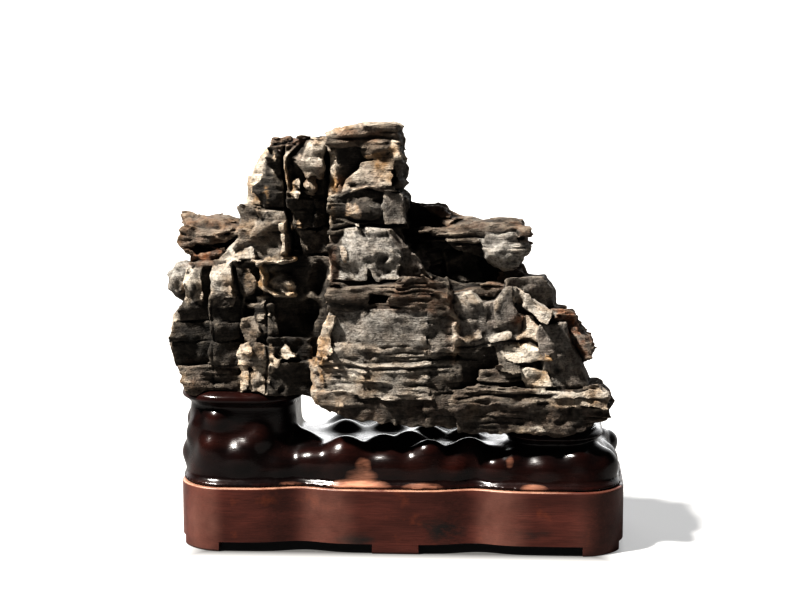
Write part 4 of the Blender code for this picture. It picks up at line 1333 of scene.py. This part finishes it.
def stone_material(settings):
    """Dark bedded stone: beds of several tones, granular grey faces, pale and rusty crusts,
    light edges, partly wear and partly a painted highlight, and painted shade in the hollows."""
    f = Finish("dark layered stone")
    cloud = f.noise(22.0, 5.0, 0.6)
    grain = f.noise(300.0, 4.0, 0.65)
    beds = f.noise(60.0, 4.0, 0.6, f.stretch((0.25, 0.25, 3.2)))
    thin_beds = f.noise(150.0, 3.0, 0.6, f.stretch((0.22, 0.22, 3.5), (3, 1, 7)))
    tone = f.math("MULTIPLY_ADD", f.attribute("bed"), 0.40, f.math("MULTIPLY_ADD", beds, 0.9, -0.25))
    tone = f.math("ADD", tone, f.ramp(cloud, 0.3, 0.7, -0.25, 0.25))
    colour = f.mix(f.ramp(tone, 0.1, 0.95), settings.dark, settings.middle)
    grey_tone = f.mix(f.ramp(grain, 0.32, 0.66), tuple(0.42 * c for c in settings.grey), settings.grey)
    grey_share = f.math("MULTIPLY", f.attribute("grey"), f.ramp(cloud, 0.28, 0.46, 0.35, 1.0))
    colour = f.mix(grey_share, colour, grey_tone)
    rust_break = f.ramp(f.noise(55.0, 5.0, 0.65), 0.36, 0.60, 0.15, 1.0)
    rust_tone = f.mix(f.ramp(f.noise(90.0, 4.0, 0.6), 0.4, 0.65), settings.rust, DEEP_RUST)
    colour = f.mix(f.math("MULTIPLY", f.attribute("rust"), rust_break), colour, rust_tone)
    pale_break = f.ramp(f.noise(70.0, 5.0, 0.7), 0.34, 0.56, 0.2, 1.0)
    pale_tone = f.mix(f.ramp(f.noise(38.0, 3.0), 0.42, 0.64), settings.pale, OCHRE)
    colour = f.mix(f.math("MULTIPLY", f.attribute("pale"), pale_break), colour, pale_tone)
    # Lighter on the convex edges: partly wear, partly a painted highlight
    edge = f.math("MULTIPLY", f.attribute("worn"), f.ramp(f.noise(130.0, 4.0), 0.38, 0.66))
    colour = f.mix(f.math("MULTIPLY", edge, 0.6), colour, WORN_EDGE_AND_HIGHLIGHT)
    dark_share = f.math("MULTIPLY", f.attribute("dark"), f.ramp(f.noise(45.0, 5.0, 0.7), 0.62, 0.40))
    colour = f.mix(f.math("MULTIPLY", dark_share, 0.9), colour, DARK_SKIN)
    colour = f.mix(f.ramp(grain, 0.50, 0.28, 0.0, 0.5), colour, GRAIN_SHADOW)
    # Painted shade: darker in the hollows and where the stone shuts a place in
    hollow_shade = f.math("MAXIMUM", f.attribute("hollow"), f.math("MULTIPLY", f.attribute("shut_in"), 0.75))
    colour = f.mix(f.math("MULTIPLY", hollow_shade, 0.8), colour, HOLLOW_SHADE)
    height = f.math("MULTIPLY_ADD", thin_beds, 0.9, f.math("MULTIPLY", grain, 1.0))
    pits = f.ramp(f.cells(240.0), 0.0, 0.35)
    crumbs = f.noise(620.0, 3.0, 0.6, f.stretch((1.0, 1.0, 1.5)))
    normal = f.bump(height, 0.0026, 1.0)
    normal = f.bump(pits, 0.0008, 0.6, normal)
    normal = f.bump(crumbs, 0.0016, 1.0, normal)
    f.give(Base_Color=colour, Roughness=f.ramp(cloud, 0.3, 0.7, 0.72, 0.9), Normal=normal)
    f.shader.inputs["Specular IOR Level"].default_value = 0.3
    return f.material


def polished_wood(settings):
    """Near-black polished hardwood, red where the polish is worn, with fine straight grain.
    The foot is pale where it is worn bare, with a painted highlight laid on it.
    """
    f = Finish("dark polished hardwood")
    grain = f.noise(70.0, 5.0, 0.6, f.stretch((0.8, 9.0, 9.0)), 0.4)
    streak = f.noise(14.0, 4.0, 0.6, f.stretch((0.35, 2.4, 2.4)))
    patch = f.noise(24.0, 3.0, 0.5)
    worn = f.math("MULTIPLY", f.attribute("worn"), f.ramp(patch, 0.38, 0.6))
    colour = f.mix(f.ramp(streak, 0.42, 0.72), settings.wood, REDDISH_STREAK)
    dark_grain = tuple(0.4 * c for c in settings.wood)
    colour = f.mix(f.math("MULTIPLY", f.ramp(grain, 0.45, 0.7), 0.5), colour, dark_grain)
    colour = f.mix(f.math("MULTIPLY", worn, 0.08), colour, settings.worn)
    scuffs = f.noise(55.0, 5.0, 0.65, f.stretch((0.4, 2.0, 2.0)))
    # The foot patches are worn bare wood with a painted highlight on top
    foot = f.math("MULTIPLY", f.attribute("foot"), f.math("MULTIPLY_ADD", scuffs, 1.8, -0.15))
    foot = f.math("MULTIPLY", f.ramp(foot, 0.2, 0.95), f.ramp(grain, 0.3, 0.6, 0.6, 1.0))
    colour = f.mix(foot, colour, BARE_WOOD_AND_HIGHLIGHT)
    rough = f.ramp(f.noise(90.0, 4.0, 0.6), 0.3, 0.7, 0.17, 0.29)
    normal = f.bump(grain, 0.00022, 0.5)
    f.give(Base_Color=colour, Roughness=rough, Normal=normal)
    f.shader.inputs["Specular IOR Level"].default_value = 0.34
    return f.material


def board_wood(settings):
    """Red-brown board: straight grain along its length, mottled light streaks, dark stains,
    a bright worn top edge and soft painted highlights where it would catch the light."""
    f = Finish("red-brown hardwood board")
    grain = f.noise(120.0, 6.0, 0.65, f.stretch((0.35, 7.0, 7.0)), 0.3)
    streak = f.noise(18.0, 4.0, 0.6, f.stretch((0.5, 2.6, 2.6)))
    mottle = f.noise(26.0, 5.0, 0.6)
    colour = f.mix(f.ramp(streak, 0.4, 0.68), settings.wood, tuple(1.9 * c for c in settings.wood))
    dark_grain = tuple(0.45 * c for c in settings.wood)
    colour = f.mix(f.math("MULTIPLY", f.ramp(grain, 0.42, 0.7), 0.55), colour, dark_grain)
    colour = f.mix(f.ramp(mottle, 0.58, 0.8, 0.0, 0.7), colour, ORANGE_MOTTLE)
    stain_break = f.noise(60.0, 5.0, 0.65, f.stretch((0.6, 1.6, 1.6)))
    stain = f.math("MULTIPLY", f.attribute("stain"), f.ramp(stain_break, 0.4, 0.58))
    colour = f.mix(stain, colour, settings.stain)
    # Painted highlights: lighter patches where the board would catch the light
    glow = f.math("POWER", f.attribute("glow"), 1.7)
    glow = f.math("MULTIPLY", glow, f.ramp(mottle, 0.3, 0.62, 0.35, 1.0))
    colour = f.mix(f.math("MULTIPLY", glow, 0.6), colour, BOARD_HIGHLIGHT)
    edge = f.math("MULTIPLY", f.attribute("edge"), f.ramp(f.noise(30.0, 4.0, 0.6), 0.3, 0.55))
    colour = f.mix(edge, colour, settings.light)
    rough = f.ramp(f.noise(70.0, 5.0, 0.6), 0.3, 0.7, 0.30, 0.46)
    normal = f.bump(grain, 0.00035, 0.6)
    f.give(Base_Color=colour, Roughness=rough, Normal=normal)
    f.shader.inputs["Specular IOR Level"].default_value = 0.3
    return f.material


# The stand


def long_side(x):
    """How far the plinth's long side stands from the middle line at x, in mm."""
    reach = STAND_DEPTH / 2
    for notch in NOTCHES:
        reach = reach - NOTCH_DEPTH * np.exp(-(((x - notch) / NOTCH_SPREAD) ** 2))
    return reach


def stand_plan(inset, steps):
    """The plinth's outline, drawn in by inset, as rows of x and y in mm."""
    half = STAND_LENGTH / 2 - inset
    corner = PLINTH_CORNER - inset
    x = -np.cos(np.linspace(0.0, math.pi, steps + 1)) * half
    over = np.maximum(0.0, abs(x) - (half - corner))
    drop = corner - np.sqrt(np.maximum(0.0, corner**2 - over**2))
    x = x + STAND_MIDDLE
    side = np.stack([x, long_side(x) - inset - drop], 1)
    front = side * (1.0, -1.0)
    return np.concatenate([front, side[::-1]])


def plan_distance(space, outline):
    """Distance in plan from each column of the grid to a closed outline, as a flat sheet."""
    x, y = np.meshgrid(space.axes[0], space.axes[1], indexing="ij")
    best = np.full(x.shape, 1e9)
    inside = np.zeros(x.shape, bool)
    for a, b in zip(outline, np.roll(outline, -1, 0)):
        best = np.minimum(best, segment_distance(x, y, a, b))
        crosses = (a[1] > y) != (b[1] > y)
        at = a[0] + (y - a[1]) * (b[0] - a[0]) / ((b[1] - a[1]) or 1.0)
        inside ^= crosses & (x < at)
    return np.where(inside, -best, best).astype(np.float32)[:, :, None]


def rounded_plan(x_range, y_range, corner, steps):
    """A rounded rectangle's outline, anticlockwise, with this many steps to a corner."""
    points = []
    corners = (
        (x_range[1] - corner, y_range[1] - corner, 0),
        (x_range[0] + corner, y_range[1] - corner, 90),
        (x_range[0] + corner, y_range[0] + corner, 180),
        (x_range[1] - corner, y_range[0] + corner, 270),
    )
    for cx, cy, start in corners:
        for i in range(steps + 1):
            angle = math.radians(start + 90 * i / steps)
            points.append((cx + corner * math.cos(angle), cy + corner * math.sin(angle)))
    return np.array(points)


def first_inside(space, axis, side, spot):
    """Where the shape is first met along an axis, coming from one side, at a spot given by
    its two other coordinates."""
    others = [i for i in range(3) if i != axis]
    index = [slice(None)] * 3
    for i, at in zip(others, spot):
        index[i] = int(np.argmin(abs(space.axes[i] - at)))
    column = space.value[tuple(index)]
    inside = np.flatnonzero(column < max(0.0, column.min() + 0.1))
    return float(space.axes[axis][inside[0] if side < 0 else inside[-1]])


def knobs(space, settings):
    """Every knob and mound of the carving: its middle in mm, height and spread."""
    for side, shift in ((-1, 0.0), (1, 11.0)):
        for x, z, height, spread in SIDE_KNOBS:
            yield (x + shift, first_inside(space, 1, side, (x + shift, z)), z), height, spread
    for side, y, z, height, spread in END_KNOBS:
        yield (first_inside(space, 0, side, (y, z)), y, z), height, spread
    for x, y in MOUNDS:
        yield (x, y, GROUND_TOP), settings.mound_height, settings.mound_spread


def shape_ground(space):
    """The carved ground: a flare at the seam, a drawn-in wall and a rounded shoulder."""
    plan = plan_distance(space, stand_plan(CARVING_INSET, 90))
    z = space.axes[2].reshape(1, 1, -1)
    heights = (PLINTH_TOP, PLINTH_TOP + 2.5, PLINTH_TOP + 7.0, PLINTH_TOP + 22.0, GROUND_TOP)
    inset = np.interp(z, heights, (0.0, 0.4, 6.5, 9.5, 14.0)).astype(np.float32)
    return smooth_max(plan + inset, z - GROUND_TOP, 22.0)


def build_carving(settings):
    """The carved top: its ground, knobs and mounds, and the sockets with their pockets."""
    base = PLINTH_TOP + SEAM
    space = Space((-238, -94, base - 5 * settings.grid), (232, 94, 168), settings.grid)
    space.value = shape_ground(space)
    for socket in (LEFT_SOCKET, RIGHT_SOCKET):
        shape = socket_distance(space.places(), socket)
        space.value = smooth_min(space.value, shape, 16.0)
    push = np.zeros(space.shape, np.float32)
    for middle, height, spread in knobs(space, settings):
        height *= settings.knob_height
        reach = 2.6 * spread
        window = space.window([m - reach for m in middle], [m + reach for m in middle])
        x, y, z = (place - at for place, at in zip(space.places(window), middle))
        push[window] += height * np.exp(-(x**2 + y**2 + z**2) / spread**2)
    for socket in (LEFT_SOCKET, RIGHT_SOCKET):
        near = abs(space.axes[0] - socket["middle"]) < socket["half"][0] + 6.0
        below_lip = np.clip((socket["rim"] - 1.3 * socket["lip"] - space.axes[2]) / 10.0, 0.0, 1.0)
        push[near] *= below_lip
    space.value = space.value - push
    round_value = space.value.copy()
    for foot, socket in ((LEFT_FOOT, LEFT_SOCKET), (RIGHT_FOOT, RIGHT_SOCKET)):
        pocket = foot_distance(space.places(), foot, socket["seat"], 400.0, SOCKET_CLEARANCE)
        space.value = smooth_max(space.value, -pocket, 1.5)
    z = space.axes[2].reshape(1, 1, -1)
    space.value = np.maximum(space.value, base - z).astype(np.float32)
    points, faces = keep_largest(*skin(space))
    points[:, 2] = np.where(points[:, 2] < base + 0.3, base, points[:, 2])
    mesh = new_mesh("carving", points, faces)
    around = blur(np.clip(round_value, -20.0, 20.0), 3) - round_value
    worn = np.clip(space.sample(around, points) / 1.2, 0.0, 1.0)
    paint_attribute(mesh, "worn", worn)
    # Worn bare wood at the foot, brightened as a painted highlight
    paint_attribute(mesh, "foot", zone(points, WORN_FEET_AND_HIGHLIGHTS))
    mesh.shade_smooth()
    piece = new_piece("carved_top", mesh, "carved_stand_top")
    mesh.materials.append(polished_wood(settings))
    return piece


def plinth_profile(settings):
    """The plinth's side from the ground up: (height, inset) in mm."""
    r = settings.edge_round
    rows = [(0.0, 1.2), (0.8, 0.3), (2.0, 0.0)]
    rows += [(h, 0.0) for h in np.linspace(6.0, PLINTH_TOP - r - 1.0, 14)]
    for i in range(7):
        angle = math.radians(90 * i / 6)
        rows.append((PLINTH_TOP - r + r * math.sin(angle), r - r * math.cos(angle)))
    rows += [(PLINTH_TOP, r + 3.0), (PLINTH_TOP, r + 12.0)]
    return rows


def loft(rings):
    """Points and faces that skin a stack of rings with equal counts, open at both ends."""
    count = len(rings[0])
    points = np.concatenate(rings)
    i = np.arange(count)
    j = (i + 1) % count
    band = np.stack([i, j, count + j, count + i], 1)
    return points, np.concatenate([band + k * count for k in range(len(rings) - 1)])


def build_plinth(settings):
    """The lobed plinth with its feet."""
    rings = []
    for height, inset in plinth_profile(settings):
        plan = stand_plan(inset, 150)
        rings.append(np.column_stack([plan, np.full(len(plan), height)]))
    points, faces = loft(rings)
    mesh = new_mesh("plinth", points.astype(np.float32), faces)
    close_ends(mesh)
    piece = new_piece("plinth_board", mesh, "plinth")
    cut_foot_gaps(piece)
    mesh = piece.data
    places = mesh_points(mesh)
    edge = np.clip(1.0 - abs(places[:, 2] - (PLINTH_TOP - 0.4)) / 0.9, 0.0, 1.0)
    paint_attribute(mesh, "edge", edge * np.clip((185.0 - places[:, 0]) / 50.0, 0.12, 1.0))
    paint_attribute(mesh, "stain", zone(places, PLINTH_STAINS))
    # Painted highlights on the board
    paint_attribute(mesh, "glow", zone(places, PLINTH_HIGHLIGHTS))
    mesh.shade_smooth()
    mesh.set_sharp_from_angle(angle=math.radians(40))
    mesh.materials.append(board_wood(settings))
    return piece


def cut_foot_gaps(piece):
    """Takes the underside away between the corner feet and the middle feet."""
    left = STAND_MIDDLE - STAND_LENGTH / 2
    right = STAND_MIDDLE + STAND_LENGTH / 2
    outer_y = STAND_DEPTH / 2 + 20.0
    inner_y = STAND_DEPTH / 2 - FOOT_DEPTH
    boxes = (
        ((left - 20.0, right + 20.0), (-inner_y, inner_y)),
        ((left + CORNER_FOOT_REACH, CENTRE_FOOT[0]), (-outer_y, outer_y)),
        ((CENTRE_FOOT[1], right - CORNER_FOOT_REACH), (-outer_y, outer_y)),
    )
    for x_range, y_range in boxes:
        plan = rounded_plan(x_range, y_range, 2.0, 3)
        low = np.column_stack([plan, np.full(len(plan), -5.0)])
        high = np.column_stack([plan, np.full(len(plan), FOOT_HEIGHT)])
        points, faces = loft([low, high])
        mesh = new_mesh("gap_cutter", points.astype(np.float32), faces)
        close_ends(mesh)
        cutter = bpy.data.objects.new("gap_cutter", mesh)
        bpy.context.scene.collection.objects.link(cutter)
        step = piece.modifiers.new("gap", "BOOLEAN")
        step.object = cutter
        step.solver = "EXACT"
        made = with_modifiers(piece)
        piece.modifiers.clear()
        piece.data = made
        bpy.data.objects.remove(cutter, do_unlink=True)


# The studio


def build_stage(settings):
    """The floor, the surroundings, the main light and the camera."""
    scene = bpy.context.scene
    half = FLOOR_HALF
    mesh = bpy.data.meshes.new("floor")
    corners = [(x * half, y * half, 0) for x, y in ((-1, -1), (1, -1), (1, 1), (-1, 1))]
    mesh.from_pydata(corners, [], [(0, 1, 2, 3)])
    floor = bpy.data.objects.new("floor", mesh)
    floor.location.z = -FLOOR_DROP
    scene.collection.objects.link(floor)
    paper = Finish("white light table")
    seen = paper.tree.nodes.new("ShaderNodeLightPath").outputs["Is Camera Ray"]
    parts = paper.tree.nodes.new("ShaderNodeSeparateXYZ")
    paper.plug(parts.inputs[0], paper.place)
    # A painted shadow: under the stand and just in front of it the floor is painted darker and loses its
    # glow
    stand_x = ORIGIN[0] + STAND_MIDDLE * MM
    across = paper.math("ABSOLUTE", paper.math("SUBTRACT", parts.outputs["X"], stand_x))
    along = paper.math("ABSOLUTE", paper.math("SUBTRACT", parts.outputs["Y"], ORIGIN[1]))
    across = paper.math("SUBTRACT", across, (STAND_LENGTH / 2 - 32.0) * MM)
    along = paper.math("SUBTRACT", along, (STAND_DEPTH / 2 - 4.0) * MM)
    clear = paper.ramp(paper.math("MAXIMUM", across, along), 0.0, FLOOR_SHADOW_FADE)
    glow_share = paper.math("MULTIPLY", seen, clear)
    glow = paper.math("MULTIPLY_ADD", glow_share, settings.floor_glow, FLOOR_GLOW_LEAST)
    colour = paper.mix(clear, FLOOR_SHADOW_COLOUR, FLOOR_COLOUR)
    colour = paper.mix(seen, FLOOR_COLOUR_MIRRORED, colour)
    paper.give(Base_Color=colour, Roughness=0.9, Emission_Color=(1.0, 1.0, 1.0), Emission_Strength=glow)
    mesh.materials.append(paper.material)

    world = bpy.data.worlds.new("white studio")
    scene.world = world
    world.use_nodes = True
    tree = world.node_tree
    background = tree.nodes["Background"]
    coordinates = tree.nodes.new("ShaderNodeTexCoord")
    parts = tree.nodes.new("ShaderNodeSeparateXYZ")
    tree.links.new(coordinates.outputs["Generated"], parts.inputs[0])
    spread = tree.nodes.new("ShaderNodeMapRange")
    spread.inputs["From Min"].default_value = 0.42
    spread.inputs["From Max"].default_value = 0.9
    spread.inputs["To Min"].default_value = settings.front_sky
    spread.inputs["To Max"].default_value = settings.sky
    tree.links.new(parts.outputs["Y"], spread.inputs["Value"])
    horizon = tree.nodes.new("ShaderNodeMapRange")
    horizon.inputs["From Min"].default_value = 0.93
    horizon.inputs["From Max"].default_value = 0.985
    horizon.inputs["To Max"].default_value = settings.horizon
    tree.links.new(parts.outputs["Y"], horizon.inputs["Value"])
    total = tree.nodes.new("ShaderNodeMath")
    tree.links.new(spread.outputs["Result"], total.inputs[0])
    tree.links.new(horizon.outputs["Result"], total.inputs[1])
    seen = tree.nodes.new("ShaderNodeLightPath")
    choose = tree.nodes.new("ShaderNodeMix")
    choose.inputs[3].default_value = BACKDROP_SEEN
    tree.links.new(seen.outputs["Is Camera Ray"], choose.inputs[0])
    tree.links.new(total.outputs[0], choose.inputs[2])
    background.inputs["Color"].default_value = (1.0, 1.0, 1.0, 1.0)
    tree.links.new(choose.outputs[0], background.inputs["Strength"])

    travel = Vector(LIGHT_TRAVEL)
    light = bpy.data.lights.new("key", "SUN")
    light.energy = settings.key_strength
    light.angle = math.radians(settings.key_spread)
    light.color = LIGHT_COLOUR
    key = bpy.data.objects.new("key", light)
    key.rotation_euler = travel.to_track_quat("-Z", "Y").to_euler()
    scene.collection.objects.link(key)

    camera_data = bpy.data.cameras.new("camera")
    camera_data.lens = settings.lens
    camera_data.sensor_width = SENSOR_WIDTH
    camera_data.clip_start = 0.05
    camera = bpy.data.objects.new("camera", camera_data)
    scene.collection.objects.link(camera)
    a = math.radians(settings.azimuth)
    e = math.radians(settings.elevation)
    back = Vector((math.sin(a) * math.cos(e), -math.cos(a) * math.cos(e), math.sin(e)))
    target = Vector(CAMERA_TARGET) + Vector(ORIGIN)
    camera.location = target + back * CAMERA_DISTANCE
    camera.rotation_euler = (-back).to_track_quat("-Z", "Y").to_euler()
    scene.camera = camera
    scene.view_settings.view_transform = "Standard"
    scene.view_settings.look = "High Contrast"


# Operators and panel


class SCHOLAR_OT_stone(bpy.types.Operator):
    """Build the layered stone"""

    bl_idname = "scholar.stone"
    bl_label = "Build stone"

    def execute(self, context):
        build_stone(context.scene.scholar_stone)
        return {"FINISHED"}


class SCHOLAR_OT_carving(bpy.types.Operator):
    """Build the carved stand top with its two sockets"""

    bl_idname = "scholar.carving"
    bl_label = "Build carved top"

    def execute(self, context):
        build_carving(context.scene.scholar_carving)
        return {"FINISHED"}


class SCHOLAR_OT_plinth(bpy.types.Operator):
    """Build the lobed plinth with its feet"""

    bl_idname = "scholar.plinth"
    bl_label = "Build plinth"

    def execute(self, context):
        build_plinth(context.scene.scholar_plinth)
        return {"FINISHED"}


class SCHOLAR_OT_stage(bpy.types.Operator):
    """Build the floor, the lights and the camera"""

    bl_idname = "scholar.stage"
    bl_label = "Build stage"

    def execute(self, context):
        build_stage(context.scene.scholar_stage)
        return {"FINISHED"}


OPERATORS = (SCHOLAR_OT_stone, SCHOLAR_OT_carving, SCHOLAR_OT_plinth, SCHOLAR_OT_stage)
SETTINGS = (
    ("scholar_stone", StoneSettings),
    ("scholar_carving", CarvingSettings),
    ("scholar_plinth", PlinthSettings),
    ("scholar_stage", StageSettings),
)


class SCHOLAR_PT_panel(bpy.types.Panel):
    """The settings and the build buttons"""

    bl_label = "Scholar's rock"
    bl_idname = "SCHOLAR_PT_panel"
    bl_space_type = "VIEW_3D"
    bl_region_type = "UI"
    bl_category = "Scholar's rock"

    def draw(self, context):
        for operator, (name, group) in zip(OPERATORS, SETTINGS):
            box = self.layout.box()
            box.operator(operator.bl_idname)
            for field in group.__annotations__:
                box.prop(getattr(context.scene, name), field)


def register():
    for _, group in SETTINGS:
        bpy.utils.register_class(group)
    for name, group in SETTINGS:
        setattr(bpy.types.Scene, name, PointerProperty(type=group))
    for operator in OPERATORS:
        bpy.utils.register_class(operator)
    bpy.utils.register_class(SCHOLAR_PT_panel)


def unregister():
    bpy.utils.unregister_class(SCHOLAR_PT_panel)
    for operator in OPERATORS:
        bpy.utils.unregister_class(operator)
    for name, group in SETTINGS:
        delattr(bpy.types.Scene, name)
        bpy.utils.unregister_class(group)


def main():
    register()
    bpy.ops.scholar.stage()
    bpy.ops.scholar.plinth()
    bpy.ops.scholar.carving()
    bpy.ops.scholar.stone()


if __name__ == "__main__":
    main()
